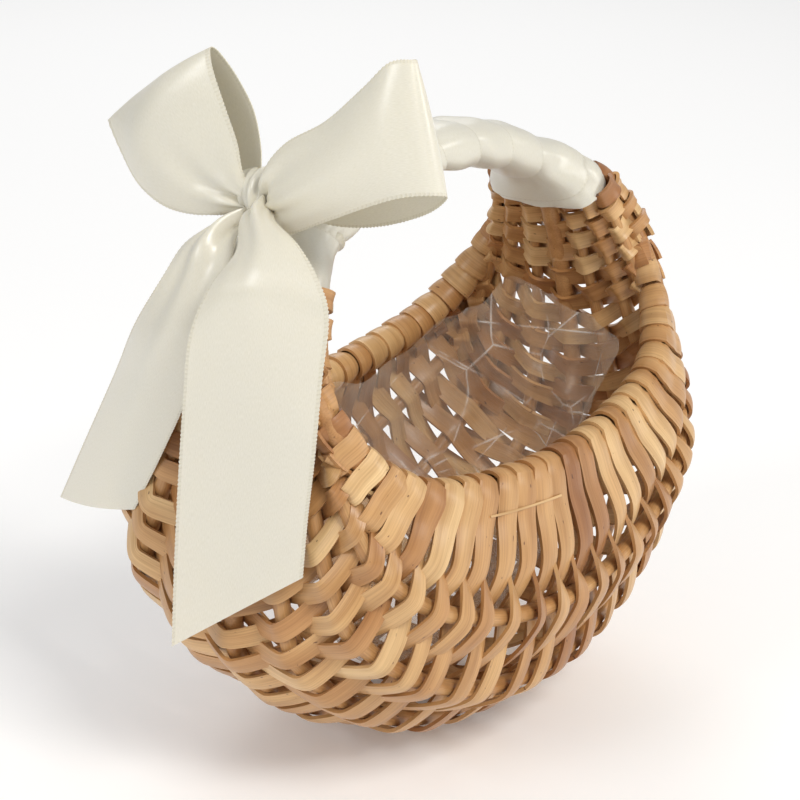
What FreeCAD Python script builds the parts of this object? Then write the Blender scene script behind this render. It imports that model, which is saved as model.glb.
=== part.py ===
import FreeCAD, Part
import math
import os

import Sketcher

# Flower girl basket: a boat-shaped willow basket woven over bent rods, with a ribbon-bound
# fixed handle, a satin bow tied at its near end and a loose clear film liner.
# Millimetres. +X runs along the basket to its far end, +Z is up, and the origin is on the
# floor under the middle of the basket. The bow is at the -X end.

V = FreeCAD.Vector
X_AXIS = V(1, 0, 0)
Y_AXIS = V(0, 1, 0)
Z_AXIS = V(0, 0, 1)
SIDES = (("front", -1), ("back", 1))

doc = FreeCAD.newDocument("flower_girl_basket")


# ---------------------------------------------------------------- driving sizes
SIZES = (
    ("half_length", 85.9, "basket's outer half length, at its widest height"),
    ("widest_z", 49.2, "height where the basket is longest"),
    ("keel_radius", 100.0, "long arc of the bottom, seen from the side"),
    ("keel_drop", 1.2, "how far the bottom arc passes under the flat it rests on"),
    ("corner_radius", 15.0, "turn from the bottom to each end"),
    ("side_radius", 225.0, "arc of each end, seen from the side"),
    ("arch_top", 163.2, "height of the handle's centre line"),
    ("arch_span", "half_length - 21.2", "handle's arch, middle to where it meets the end's arc"),
    ("arch_rise", 22.3, "handle's arch, its rise over that span"),
    ("arch_radius", "(arch_span ^ 2 + arch_rise ^ 2) / (2 * arch_rise)", "arc of the handle"),
    ("shoulder_radius", 20.0, "turn from each end into the handle"),
    ("rim_lean", 29.7, "degrees that each rim's plane leans from upright"),
    ("rim_root_y", 11.5, "rim's centre to the middle plane at the handle"),
    ("rim_root_z", 144.6, "height of the rim's centre at the handle"),
    ("rim_root_x", "half_length - 20.5", "rim's end, along the basket"),
    ("rim_depth", 69.5, "rim's fall from the handle, in its own plane"),
    ("rim_long_radius", 175.0, "rim's long arc"),
    ("rim_end_radius", 38.0, "rim's arc at each end"),
    ("rim_rod_radius", 3.0, "rod inside each rim"),
    ("rim_wrap_radius", 4.8, "rim with its lashing"),
    ("rim_wrap_stop", 15.5, "lashing stops this far short of the rim's end"),
    ("hoop_rod_radius", 2.6, "rod of the hoop: keel, ends and handle core"),
    ("rib_radius", 2.3, "rods of the frame"),
    ("weave_thickness", 2.4, "woven skin outside the rods"),
    ("wall_fit", 0.25, "clear space between skin and rods, and between panels"),
    ("bulge_angle", 128.5, "degrees round the section from the keel to the rim"),
    ("side_rod_radius", 2.5, "two rods beside the hoop in the handle"),
    ("rod_gap", 0.15, "clear space between bundled rods"),
    ("wrap_side_thickness", 0.6, "ribbon over the side rods"),
    ("wrap_face_thickness", 3.45, "ribbon and padding over and under the rods"),
    ("wrap_side_fit", 0.35, "clear space between the ribbon and the side rods"),
    (
        "handle_wrap_width",
        "2 * (hoop_rod_radius + rod_gap + 2 * side_rod_radius + wrap_side_thickness + wrap_side_fit)",
        "ribbon-bound handle, across",
    ),
    (
        "handle_wrap_height",
        "2 * (hoop_rod_radius + wall_fit + wrap_face_thickness)",
        "ribbon-bound handle, through",
    ),
    ("binding_width", 33.0, "ribbon binding over the rim's ends, across"),
    ("binding_height", 16.0, "the same, through"),
    ("binding_length", 11.0, "the same, along the hoop"),
    ("binding_shift", 3.0, "binding's foot, out from the hoop, to take in the rims"),
    ("ribbon_width", 40.0, "satin ribbon of the bow"),
    ("ribbon_gather", 13.0, "ribbon's width where the knot squeezes it"),
    ("ribbon_thickness", 1.2, "bow's ribbon with its folds pressed"),
    ("knot_radius", 7.0, "knot, across"),
    ("knot_end_radius", "0.72 * knot_radius", "knot, where it narrows at its ends"),
    ("knot_height", 16.0, "knot, up the handle's face"),
    ("strap_thickness", 1.2, "ribbon strap that holds the bow to the handle"),
    ("strap_length", 8.0, "the same strap, along the handle"),
    ("knot_seat", 0.25, "clear space under the knot and round the strap's inside"),
    ("knot_place", "16.2 - arch_span", "knot, along the basket, on the handle's centre line"),
    ("loop_reach_left", 42.0, "bow's back loop, from the knot to its end"),
    ("loop_reach_right", 54.0, "bow's front loop, from the knot to its end"),
    ("loop_depth", 15.0, "bow's loop, front ribbon to back ribbon"),
    ("loop_root", 4.5, "loop's root from the knot's centre, tucked into the knot"),
    ("loop_root_half", "2 * ribbon_thickness", "half the height of the loop's root"),
    ("loop_eye", "loop_root + 4 * ribbon_thickness", "where the loop opens between its two runs"),
    ("loop_eye_half", "ribbon_thickness / 2", "half the height of that opening's root"),
    ("loop_spread", 22.0, "length in which the gathered ribbon opens to its full width"),
    ("loop_rise_left", 37.0, "degrees that the back loop rises"),
    ("loop_rise_right", 27.0, "degrees that the front loop rises"),
    ("tail_shoulder", 16.0, "bend at each tail's top, out from the hinge"),
    ("tail_spread", "1.2 * loop_spread", "length in which a tail opens to its full width"),
    ("tail_front_x", "13.4 - half_length", "front tail's hinge, along the basket"),
    ("tail_front_y", -9.0, "the same, across"),
    ("tail_front_z", 151.5, "the same, height"),
    ("tail_front_turn", -15.0, "degrees that the front tail faces round from -X"),
    ("tail_front_tilt", 7.0, "degrees that the front tail leans sideways"),
    ("tail_back_x", "14.9 - half_length", "back tail's hinge, along the basket"),
    ("tail_back_y", 4.0, "the same, across"),
    ("tail_back_z", 149.5, "the same, height"),
    ("tail_back_turn", 6.0, "degrees that the back tail faces round from -X"),
    ("tail_back_tilt", 36.0, "degrees that the back tail leans sideways"),
    ("tail_front_length", 112.0, "front tail from its hinge to its longer corner"),
    ("tail_back_length", 104.0, "back tail from its hinge to its longer corner"),
    ("tail_front_slant", 26.0, "front tail's slanted cut, long side less short side"),
    ("tail_back_slant", 22.0, "the same on the back tail"),
    ("liner_half_length", "half_length - 29.9", "film liner, half its length"),
    ("liner_half_width", 37.0, "film liner, half its width"),
    ("liner_widest_z", 76.0, "height where the liner is widest"),
    ("liner_floor_z", 10.6, "film liner's lowest point"),
    ("film_thickness", 0.8, "film with its folds"),
    ("liner_dip_z", 82.0, "liner's edge at the middle of each side"),
    ("liner_dip_radius", 66.0, "arc of the liner's edge, seen from the side"),
)

sheet = doc.addObject("Spreadsheet::Sheet", "Sizes")
for row, (alias, value, meaning) in enumerate(SIZES, start=1):
    sheet.set(f"A{row}", alias)
    sheet.setAlias(f"B{row}", alias)
    sheet.set(f"B{row}", f"={value}")
    sheet.set(f"C{row}", meaning)
doc.recompute()
size = {alias: float(sheet.get(alias)) for alias, value, meaning in SIZES}


def cell(text):
    """An expression over the sheet's aliases, such as cell("arch_radius - 2")."""
    for alias in sorted(size, key=len, reverse=True):
        text = text.replace(alias, "<" + str(list(size).index(alias)) + ">")
    for place, alias in enumerate(size):
        text = text.replace("<" + str(place) + ">", "Sizes." + alias)
    return text


# ---------------------------------------------------------------- outlines
def circles_meet(centre_a, radius_a, centre_b, radius_b, pick):
    """One of the two points where two circles cross; pick is +1 for the higher, -1 for the lower."""
    ax, az = centre_a
    bx, bz = centre_b
    gap = math.hypot(bx - ax, bz - az)
    along = (radius_a**2 - radius_b**2 + gap**2) / (2 * gap)
    off = math.sqrt(radius_a**2 - along**2)
    ux, uz = (bx - ax) / gap, (bz - az) / gap
    points = [(ax + along * ux - turn * off * uz, az + along * uz + turn * off * ux) for turn in (1, -1)]
    return max(points, key=lambda p: pick * p[1])


def touch(centre_big, centre_small, radius_big):
    """Point where a circle inside a bigger one touches it."""
    dx, dz = centre_small[0] - centre_big[0], centre_small[1] - centre_big[1]
    reach = math.hypot(dx, dz)
    return (centre_big[0] + radius_big * dx / reach, centre_big[1] + radius_big * dz / reach)


def angle_of(centre, point):
    return math.atan2(point[1] - centre[1], point[0] - centre[0])


class ArcChain:
    """Tangent arcs in a plane, each (centre, radius, first angle, last angle), run anticlockwise."""

    def __init__(self, arcs):
        self.arcs = arcs
        self.lengths = [radius * (last - first) for centre, radius, first, last in arcs]
        self.length = sum(self.lengths)

    def at(self, share):
        left = share * self.length
        for (centre, radius, first, last), length in zip(self.arcs, self.lengths):
            if left <= length or (centre, radius, first, last) == self.arcs[-1]:
                angle = first + left / radius
                return centre[0] + radius * math.cos(angle), centre[1] + radius * math.sin(angle)
            left -= length


def hoop_arcs(inset):
    """The +X half of the hoop, from the bottom round to the top of the handle, drawn inset from
    the basket's outer surface: bottom, corner, end, shoulder, arch."""
    bottom = (0.0, size["keel_radius"] - size["keel_drop"])
    end = (size["half_length"] - size["side_radius"], size["widest_z"])
    arch = (0.0, size["arch_top"] - size["arch_radius"])
    keel_r = size["keel_radius"] - inset
    corner_r = size["corner_radius"] - inset
    side_r = size["side_radius"] - inset
    corner = circles_meet(bottom, keel_r - corner_r, end, side_r - corner_r, -1)
    shoulder = circles_meet(
        end, side_r - size["shoulder_radius"], arch, size["arch_radius"] - size["shoulder_radius"], 1
    )
    down = -math.pi / 2
    turn_a = angle_of(bottom, touch(bottom, corner, keel_r))
    turn_b = angle_of(end, touch(end, corner, side_r))
    turn_c = angle_of(end, touch(end, shoulder, side_r))
    turn_d = angle_of(arch, touch(arch, shoulder, size["arch_radius"]))
    return [
        (bottom, keel_r, down, turn_a),
        (corner, corner_r, turn_a, turn_b),
        (end, side_r, turn_b, turn_c),
        (shoulder, size["shoulder_radius"], turn_c, turn_d),
        (arch, size["arch_radius"], turn_d, math.pi / 2),
    ]


def rim_arcs(stop):
    """The +X half of a rim in its own plane, x along the basket and y down the plane, from the
    middle to its end. stop leaves the last stretch off. Run as drawn downward, so y is negated."""
    middle = (0.0, -(size["rim_depth"] - size["rim_long_radius"]))
    root = (size["rim_root_x"], 0.0)
    end_r = size["rim_end_radius"]
    candidates = circles_meet(middle, size["rim_long_radius"] - end_r, root, end_r, -1)
    first = angle_of(middle, touch(middle, candidates, size["rim_long_radius"]))
    last = angle_of(candidates, root)
    return [
        (middle, size["rim_long_radius"], -math.pi / 2, first),
        (candidates, end_r, first, last - stop / end_r),
    ]


# The woven surface runs from the keel's outline to the rims. Weavers lie in planes that fan
# about a line across the basket: each joins one share of the rim to one share of the keel.
ROD_INSET = size["weave_thickness"] + size["wall_fit"] + size["hoop_rod_radius"]
KEEL_LAG = 1.15


def keel_outline():
    bottom, corner, (centre, radius, first, last) = hoop_arcs(0.0)[:3]
    last = math.asin((size["rim_root_z"] - centre[1]) / radius)
    return ArcChain([bottom, corner, (centre, radius, first, last)])


KEEL = keel_outline()
RIM = ArcChain(rim_arcs(0.0))
LEAN = math.radians(size["rim_lean"])
BULGE = math.radians(size["bulge_angle"])


def rim_point(share):
    """Rim's centre line on the +X, +Y quarter."""
    x, down = RIM.at(share)
    return x, size["rim_root_y"] - down * math.sin(LEAN), size["rim_root_z"] + down * math.cos(LEAN)


def surface(share, angle, side):
    """Outer woven surface. share runs -1..1 along the basket, angle from the keel (0) to the rim."""
    part = abs(share)
    rim_x, rim_y, rim_z = rim_point(part)
    keel_x, keel_z = KEEL.at(part - KEEL_LAG * part**3 * (1 - part))
    up = (math.cos(angle) - math.cos(BULGE)) / (1 - math.cos(BULGE))
    x = rim_x + (keel_x - rim_x) * up
    y = rim_y * math.sin(angle) / math.sin(BULGE)
    z = rim_z + (keel_z - rim_z) * up
    return V(math.copysign(x, share), side * y, z)


def inside(share, angle, side, depth):
    """A point at a depth inside the woven surface."""
    step = 1e-3
    along = surface(share + step, angle, side) - surface(share - step, angle, side)
    around = surface(share, angle + step, side) - surface(share, angle - step, side)
    normal = along.cross(around) * side
    normal.normalize()
    return surface(share, angle, side) + normal * depth


# ---------------------------------------------------------------- building helpers
def new_body(label):
    body = doc.addObject("PartDesign::Body", label)
    body.Label = label
    return body


def new_sketch(body, plane, name):
    sketch = body.newObject("Sketcher::SketchObject", name)
    origin = [f for f in body.Origin.OriginFeatures if f.Role == plane]
    sketch.AttachmentSupport = (origin[0], [""])
    sketch.MapMode = "FlatFace"
    return sketch


def constrain(sketch, kind, *where, to=None):
    """Add one constraint; to binds it to an expression over the sheet."""
    number = sketch.addConstraint(Sketcher.Constraint(kind, *where))
    if to is not None:
        sketch.setExpression(f"Constraints[{number}]", cell(to))


def draw_arcs(sketch, arcs, radii):
    """Tangent arcs in a sketch, each radius bound to an expression. Returns their numbers."""
    numbers = []
    for centre, radius, first, last in arcs:
        circle = Part.Circle(V(centre[0], centre[1], 0), Z_AXIS, radius)
        numbers.append(sketch.addGeometry(Part.ArcOfCircle(circle, first, last), False))
    for before, after in zip(numbers, numbers[1:]):
        constrain(sketch, "Tangent", before, 2, after, 1)
    for number, radius, text in zip(numbers, (arc[1] for arc in arcs), radii):
        constrain(sketch, "Radius", number, radius, to=text)
    return numbers


def draw_circle(sketch, height, radius, height_text, radius_text):
    """A circle centred on the sketch's vertical axis."""
    number = sketch.addGeometry(Part.Circle(V(0, height, 0), Z_AXIS, radius), False)
    constrain(sketch, "Radius", number, radius, to=radius_text)
    constrain(sketch, "PointOnObject", number, 3, -2)
    constrain(sketch, "DistanceY", -1, 1, number, 3, height, to=height_text)


def draw_circle_before(sketch, distance, radius, distance_text, radius_text):
    """A circle centred on the sketch's horizontal axis, on its negative side."""
    number = sketch.addGeometry(Part.Circle(V(-distance, 0, 0), Z_AXIS, radius), False)
    constrain(sketch, "Radius", number, radius, to=radius_text)
    constrain(sketch, "PointOnObject", number, 3, -1)
    constrain(sketch, "DistanceX", number, 3, -1, 1, distance, to=distance_text)


def draw_oval(sketch, y, width, height, place, texts):
    """A flat oval centred on the vertical axis: two half circles joined by two lines."""
    radius = height / 2
    half = width / 2 - radius
    right = sketch.addGeometry(
        Part.ArcOfCircle(Part.Circle(V(half, y, 0), Z_AXIS, radius), -math.pi / 2, math.pi / 2), False
    )
    left = sketch.addGeometry(
        Part.ArcOfCircle(Part.Circle(V(-half, y, 0), Z_AXIS, radius), math.pi / 2, 1.5 * math.pi), False
    )
    top = sketch.addGeometry(Part.LineSegment(V(half, y + radius, 0), V(-half, y + radius, 0)), False)
    base = sketch.addGeometry(Part.LineSegment(V(-half, y - radius, 0), V(half, y - radius, 0)), False)
    constrain(sketch, "Tangent", right, 2, top, 1)
    constrain(sketch, "Tangent", top, 2, left, 1)
    constrain(sketch, "Tangent", left, 2, base, 1)
    constrain(sketch, "Tangent", base, 2, right, 1)
    constrain(sketch, "Symmetric", left, 3, right, 3, -2)
    constrain(sketch, "Radius", right, radius, to=texts[1] + " / 2")
    constrain(sketch, "DistanceX", left, 3, right, 3, 2 * half, to=texts[0] + " - (" + texts[1] + ")")
    constrain(sketch, "DistanceY", -1, 1, right, 3, y, to=place)


def pipe_both_ways(body, profile, path, edges):
    """A pipe along the path, and its mirror image past the middle plane across the basket."""
    pipe = body.newObject("PartDesign::AdditivePipe", "pipe")
    pipe.Profile = profile
    pipe.Spine = (path, [f"Edge{number + 1}" for number in range(edges)])
    pipe.Transition = 0
    doc.recompute()
    mirrored = body.newObject("PartDesign::Mirrored", "both_ways")
    mirrored.Originals = [pipe]
    plane = [f for f in body.Origin.OriginFeatures if f.Role == "YZ_Plane"][0]
    mirrored.MirrorPlane = (plane, [""])
    body.Tip = mirrored
    doc.recompute()


def finished_solid(label, shape):
    feature = doc.addObject("Part::Feature", label)
    feature.Label = label
    feature.Shape = shape
    return feature


# ---------------------------------------------------------------- hoop and handle core
HOOP_RADII = (
    "keel_radius - {0}",
    "corner_radius - {0}",
    "side_radius - {0}",
    "shoulder_radius",
    "arch_radius",
)


def draw_hoop_path(sketch, inset, inset_text):
    arcs = hoop_arcs(inset)
    numbers = draw_arcs(sketch, arcs, [text.format(inset_text) for text in HOOP_RADII])
    bottom, corner, end, shoulder, arch = numbers
    low = arcs[0][0][1] - arcs[0][1]
    constrain(sketch, "PointOnObject", bottom, 3, -2)
    constrain(sketch, "PointOnObject", bottom, 1, -2)
    constrain(sketch, "DistanceY", -1, 1, bottom, 1, low, to=inset_text + " - keel_drop")
    constrain(sketch, "DistanceX", end, 3, -1, 1, -arcs[2][0][0], to="side_radius - half_length")
    constrain(sketch, "DistanceY", -1, 1, end, 3, arcs[2][0][1], to="widest_z")
    constrain(sketch, "PointOnObject", arch, 3, -2)
    constrain(sketch, "PointOnObject", arch, 2, -2)
    constrain(sketch, "DistanceY", -1, 1, arch, 2, size["arch_top"], to="arch_top")


def draw_handle_path(sketch):
    """The arch and shoulder alone, started at the top of the handle so that it runs outward."""
    shoulder, arch = hoop_arcs(ROD_INSET)[3:]
    numbers = draw_arcs(sketch, [shoulder, arch], ["shoulder_radius", "arch_radius"])
    constrain(sketch, "PointOnObject", numbers[1], 3, -2)
    constrain(sketch, "PointOnObject", numbers[1], 2, -2)
    constrain(sketch, "DistanceY", -1, 1, numbers[1], 2, size["arch_top"], to="arch_top")
    return numbers


INSET_TEXT = "(weave_thickness + wall_fit + hoop_rod_radius)"


def build_hoop_rod():
    body = new_body("hoop_rod")
    path = new_sketch(body, "XZ_Plane", "hoop_line")
    draw_hoop_path(path, ROD_INSET, INSET_TEXT)
    section = new_sketch(body, "YZ_Plane", "rod_section")
    low = ROD_INSET - size["keel_drop"]
    draw_circle(section, low, size["hoop_rod_radius"], INSET_TEXT + " - keel_drop", "hoop_rod_radius")
    doc.recompute()
    pipe_both_ways(body, section, path, 5)
    return body


def build_handle_side_rod(name, side):
    """A rod beside the hoop's rod through the arch, bound with it in the handle."""
    body = new_body("handle_side_rod_" + name)
    offset = size["hoop_rod_radius"] + size["rod_gap"] + size["side_rod_radius"]
    body.Placement = FreeCAD.Placement(V(0, side * offset, 0), FreeCAD.Rotation())
    sign = "" if side > 0 else "-"
    body.setExpression(
        ".Placement.Base.y", sign + cell("(hoop_rod_radius + rod_gap + side_rod_radius)")
    )
    path = new_sketch(body, "XZ_Plane", "arch_line")
    draw_handle_path(path)
    section = new_sketch(body, "YZ_Plane", "rod_section")
    draw_circle(section, size["arch_top"], size["side_rod_radius"], "arch_top", "side_rod_radius")
    doc.recompute()
    pipe_both_ways(body, section, path, 2)
    return body


def build_handle_wrap():
    """Satin ribbon wound round the three rods of the handle, as one oval sleeve."""
    body = new_body("handle_wrap")
    path = new_sketch(body, "XZ_Plane", "arch_line")
    draw_handle_path(path)
    section = new_sketch(body, "YZ_Plane", "sleeve_section")
    draw_oval(
        section, size["arch_top"], size["handle_wrap_width"], size["handle_wrap_height"],
        "arch_top", ("handle_wrap_width", "handle_wrap_height"),
    )
    bore_width = size["handle_wrap_width"] - 2 * size["wrap_side_thickness"]
    bore_height = 2 * (size["hoop_rod_radius"] + size["wall_fit"])
    draw_oval(
        section, size["arch_top"], bore_width, bore_height, "arch_top",
        ("(handle_wrap_width - 2 * wrap_side_thickness)", "(2 * (hoop_rod_radius + wall_fit))"),
    )
    doc.recompute()
    pipe_both_ways(body, section, path, 2)
    return body


# ---------------------------------------------------------------- rims
def build_rim(name, side, wrapped):
    """A rim's rod, or the lashing round it, in the rim's own leaning plane."""
    body = new_body(("rim_wrap_" if wrapped else "rim_rod_") + name)
    down = V(0, side * math.sin(LEAN), -math.cos(LEAN))
    turn = FreeCAD.Rotation(X_AXIS, down * -1, V(0, 0, 0), "XYZ")
    body.Placement = FreeCAD.Placement(V(0, side * size["rim_root_y"], size["rim_root_z"]), turn)
    path = new_sketch(body, "XY_Plane", "rim_line")
    stop = size["rim_wrap_stop"] if wrapped else 0.0
    arcs = rim_arcs(stop)
    long_arc, end_arc = draw_arcs(path, arcs, ("rim_long_radius", "rim_end_radius"))
    constrain(path, "PointOnObject", long_arc, 3, -2)
    constrain(path, "PointOnObject", long_arc, 1, -2)
    constrain(path, "DistanceY", long_arc, 1, -1, 1, size["rim_depth"], to="rim_depth")
    section = new_sketch(body, "YZ_Plane", "rim_section")
    depth = size["rim_depth"]
    if wrapped:
        draw_circle_before(section, depth, size["rim_wrap_radius"], "rim_depth", "rim_wrap_radius")
        bore = size["rim_rod_radius"] + size["rod_gap"]
        draw_circle_before(section, depth, bore, "rim_depth", "rim_rod_radius + rod_gap")
    else:
        draw_circle_before(section, depth, size["rim_rod_radius"], "rim_depth", "rim_rod_radius")
    doc.recompute()
    pipe_both_ways(body, section, path, 2)
    return body


# ---------------------------------------------------------------- bindings at the handle's roots
def oval_wire(centre, across, through, width, height):
    """A flat oval round a point: across and through are its two unit directions."""
    radius = height / 2
    half = width / 2 - radius
    corners = [
        centre + across * half + through * radius,
        centre - across * half + through * radius,
        centre - across * half - through * radius,
        centre + across * half - through * radius,
    ]
    left = Part.Arc(corners[1], centre - across * (width / 2), corners[2]).toShape()
    right = Part.Arc(corners[3], centre + across * (width / 2), corners[0]).toShape()
    top = Part.makeLine(corners[0], corners[1])
    base = Part.makeLine(corners[2], corners[3])
    return Part.Wire([top, left, base, right])


def build_handle_binding(name, way):
    """Ribbon drawn over the rims' ends: a flat sleeve that narrows from the rims to the handle."""
    centre, radius, first, last = hoop_arcs(ROD_INSET)[2]
    wraps = []
    for thin in (0.0, size["wrap_side_thickness"]):
        wires = []
        for share in (0.0, 0.5, 1.0):
            angle = last - (1 - share) * size["binding_length"] / radius - size["rod_gap"] / radius
            out = V(way * math.cos(angle), 0, math.sin(angle))
            place = V(way * centre[0], 0, centre[1]) + out * (radius + size["binding_shift"] * (1 - share))
            width = size["binding_width"] * (1 - share) + size["handle_wrap_width"] * share
            height = size["binding_height"] * (1 - share) + size["handle_wrap_height"] * share
            wires.append(oval_wire(place, Y_AXIS, out, width - 2 * thin, height - 2 * thin))
        wraps.append(Part.makeLoft(wires, True, False))
    return finished_solid("handle_binding_" + name, wraps[0].cut(wraps[1]))


# ---------------------------------------------------------------- ribs and woven panels
RIB_ANGLES = (26, 55, 87)
RIB_END = 0.86
STEP_BACK = 0.01
RIM_SAMPLES = 80
RIB_STEPS = 20
ARC_TOLERANCE = 0.05
VOLUME_TOLERANCE = 0.01
PANEL_COLUMNS = 9
PANEL_TURNS = 15
PANELS = (
    ("near_end", -0.965, -0.66),
    ("near_side", -0.66, -0.30),
    ("middle", -0.30, 0.30),
    ("far_side", 0.30, 0.66),
    ("far_end", 0.66, 0.965),
)


def build_rib(name, side, number):
    """A rod of the frame, just inside the woven skin, from one end of the basket to the other."""
    depth = size["weave_thickness"] + size["wall_fit"] + size["rib_radius"]
    angle = math.radians(RIB_ANGLES[number - 1])
    clear = size["rim_wrap_radius"] + size["wall_fit"] + size["rib_radius"]
    end = RIB_END
    while rim_distance(inside(end, angle, side, depth), side) < clear:
        end -= STEP_BACK
    points = [inside(end * (2 * k / RIB_STEPS - 1), angle, side, depth) for k in range(RIB_STEPS + 1)]
    curve = Part.BSplineCurve()
    curve.interpolate(points)
    arcs = curve.toBiArcs(ARC_TOLERANCE)
    path = Part.Wire([arc.toShape() for arc in arcs])
    start = path.Edges[0]
    direction = start.tangentAt(start.FirstParameter)
    section = Part.Wire(Part.makeCircle(size["rib_radius"], start.valueAt(start.FirstParameter), direction))
    rod = path.makePipeShell([section], True, False)
    expected = math.pi * size["rib_radius"] ** 2 * path.Length
    if abs(rod.Volume / expected - 1) > VOLUME_TOLERANCE:
        raise ValueError(f"rib {name} {number} has the wrong volume")
    return finished_solid(f"rib_{name}_{number}", rod)


def rim_distance(point, side):
    """How far a point lies from the rim's centre line on its own side of the basket."""
    place = V(abs(point.x), side * point.y, point.z)
    return min((V(*rim_point(k / RIM_SAMPLES)) - place).Length for k in range(RIM_SAMPLES + 1))


def spline_sheet(rows):
    patch = Part.BSplineSurface()
    patch.interpolate(rows)
    return patch


def panel_solid(share_a, share_b, side):
    """A stretch of the woven skin on one side of the keel, from the keel's line to the rim."""
    clear = size["rim_wrap_radius"] + 2 * size["wall_fit"]
    depths = (0.0, size["weave_thickness"])
    keel_gap = size["wall_fit"] / 2
    last_column = PANEL_COLUMNS - 1
    last_turn = PANEL_TURNS - 1
    shares = [share_a + (share_b - share_a) * column / last_column for column in range(PANEL_COLUMNS)]
    spans = []
    for share in shares:
        width = rim_point(abs(share))[1] / math.sin(BULGE)
        high = BULGE
        while min(rim_distance(inside(share, high, side, depth), side) for depth in depths) < clear:
            high -= STEP_BACK
        spans.append((keel_gap / width, high))
    skins = []
    for depth in depths:
        rows = []
        for share, (low, high) in zip(shares, spans):
            angles = [low + (high - low) * turn / last_turn for turn in range(PANEL_TURNS)]
            rows.append([inside(share, angle, side, depth) for angle in angles])
        skins.append(spline_sheet(rows))
    outer, inner = skins
    faces = [outer.toShape(), inner.toShape()]
    for edge in ("u_first", "u_last", "v_first", "v_last"):
        lines = []
        for skin in skins:
            first_u, last_u, first_v, last_v = skin.bounds()
            if edge[0] == "u":
                lines.append(skin.uIso(first_u if edge == "u_first" else last_u).toShape())
            else:
                lines.append(skin.vIso(first_v if edge == "v_first" else last_v).toShape())
        faces.append(Part.makeRuledSurface(lines[0], lines[1]))
    shell = Part.Shell(faces)
    shell.sewShape()
    solid = Part.Solid(Part.Shell(shell.Faces))
    if solid.Volume < 0:
        solid.reverse()
    return solid


def build_panel(name, side, place, share_a, share_b):
    gap = size["wall_fit"] / (2 * KEEL.length)
    solid = panel_solid(share_a + gap, share_b - gap, side)
    floor = size["keel_drop"] + 1
    below = Part.makeBox(
        4 * size["half_length"], 4 * size["half_length"], floor,
        V(-2 * size["half_length"], -2 * size["half_length"], -floor),
    )
    return finished_solid(f"weave_{name}_{place}", solid.cut(below))


# ---------------------------------------------------------------- bow
def handle_frame(place_x):
    """Point on the handle's centre line at x, and the outward direction of the handle there."""
    centre = V(0, 0, size["arch_top"] - size["arch_radius"])
    angle = math.acos(place_x / size["arch_radius"])
    out = V(math.cos(angle), 0, math.sin(angle))
    return centre + out * size["arch_radius"], out


def knot_centre():
    """The knot sits on the strap, which goes round the bound handle."""
    place, out = handle_frame(size["knot_place"])
    lift = size["handle_wrap_height"] / 2 + size["strap_thickness"] + 2 * size["knot_seat"]
    return place + out * (lift + size["knot_radius"])


def build_bow_strap():
    """The ribbon strap round the handle that the knot is tied to."""
    layers = []
    for grow in (size["knot_seat"], size["knot_seat"] + size["strap_thickness"]):
        wires = []
        for share in (-0.5, 0.0, 0.5):
            place, out = handle_frame(size["knot_place"])
            angle = math.atan2(out.z, out.x) + share * size["strap_length"] / size["arch_radius"]
            out = V(math.cos(angle), 0, math.sin(angle))
            place = V(0, 0, size["arch_top"] - size["arch_radius"]) + out * size["arch_radius"]
            width = size["handle_wrap_width"] + 2 * grow
            wires.append(oval_wire(place, Y_AXIS, out, width, size["handle_wrap_height"] + 2 * grow))
        layers.append(Part.makeLoft(wires, True, False))
    return finished_solid("bow_strap", layers[1].cut(layers[0]))


def build_bow_knot():
    """The knot: ribbon drawn tight over itself, a barrel that lies across the handle's face."""
    body = new_body("bow_knot")
    place, out = handle_frame(size["knot_place"])
    along = out.cross(Y_AXIS)
    body.Placement = FreeCAD.Placement(knot_centre(), FreeCAD.Rotation(Y_AXIS, V(0, 0, 0), along, "ZXY"))
    profile = new_sketch(body, "XZ_Plane", "barrel_profile")
    half = size["knot_height"] / 2
    radius = size["knot_radius"]
    end = size["knot_end_radius"]
    bulge = Part.Arc(V(end, -half, 0), V(radius, 0, 0), V(end, half, 0))
    side = profile.addGeometry(bulge, False)
    top = profile.addGeometry(Part.LineSegment(V(end, half, 0), V(0, half, 0)), False)
    axis = profile.addGeometry(Part.LineSegment(V(0, half, 0), V(0, -half, 0)), False)
    base = profile.addGeometry(Part.LineSegment(V(0, -half, 0), V(end, -half, 0)), False)
    constrain(profile, "Coincident", side, 2, top, 1)
    constrain(profile, "Coincident", top, 2, axis, 1)
    constrain(profile, "Coincident", axis, 2, base, 1)
    constrain(profile, "Coincident", base, 2, side, 1)
    constrain(profile, "Horizontal", top)
    constrain(profile, "Horizontal", base)
    constrain(profile, "PointOnObject", axis, 1, -2)
    constrain(profile, "PointOnObject", axis, 2, -2)
    constrain(profile, "DistanceY", -1, 1, axis, 1, half, to="knot_height / 2")
    constrain(profile, "DistanceY", axis, 2, -1, 1, half, to="knot_height / 2")
    constrain(profile, "DistanceX", -1, 1, side, 2, end, to="knot_end_radius")
    turned = body.newObject("PartDesign::Revolution", "barrel")
    turned.Profile = profile
    turned.ReferenceAxis = (profile, ["V_Axis"])
    turned.Angle = 360
    doc.recompute()
    return body


def draw_closed(sketch, points):
    """A closed run of straight lines through the points."""
    numbers = []
    for first, second in zip(points, points[1:] + points[:1]):
        line = Part.LineSegment(V(first[0], first[1], 0), V(second[0], second[1], 0))
        numbers.append(sketch.addGeometry(line, False))
    for before, after in zip(numbers, numbers[1:] + numbers[:1]):
        constrain(sketch, "Coincident", before, 2, after, 1)
    for number, (x, y) in zip(numbers, points):
        constrain(sketch, "DistanceX", -1, 1, number, 1, x)
        constrain(sketch, "DistanceY", -1, 1, number, 1, y)
    return numbers


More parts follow.
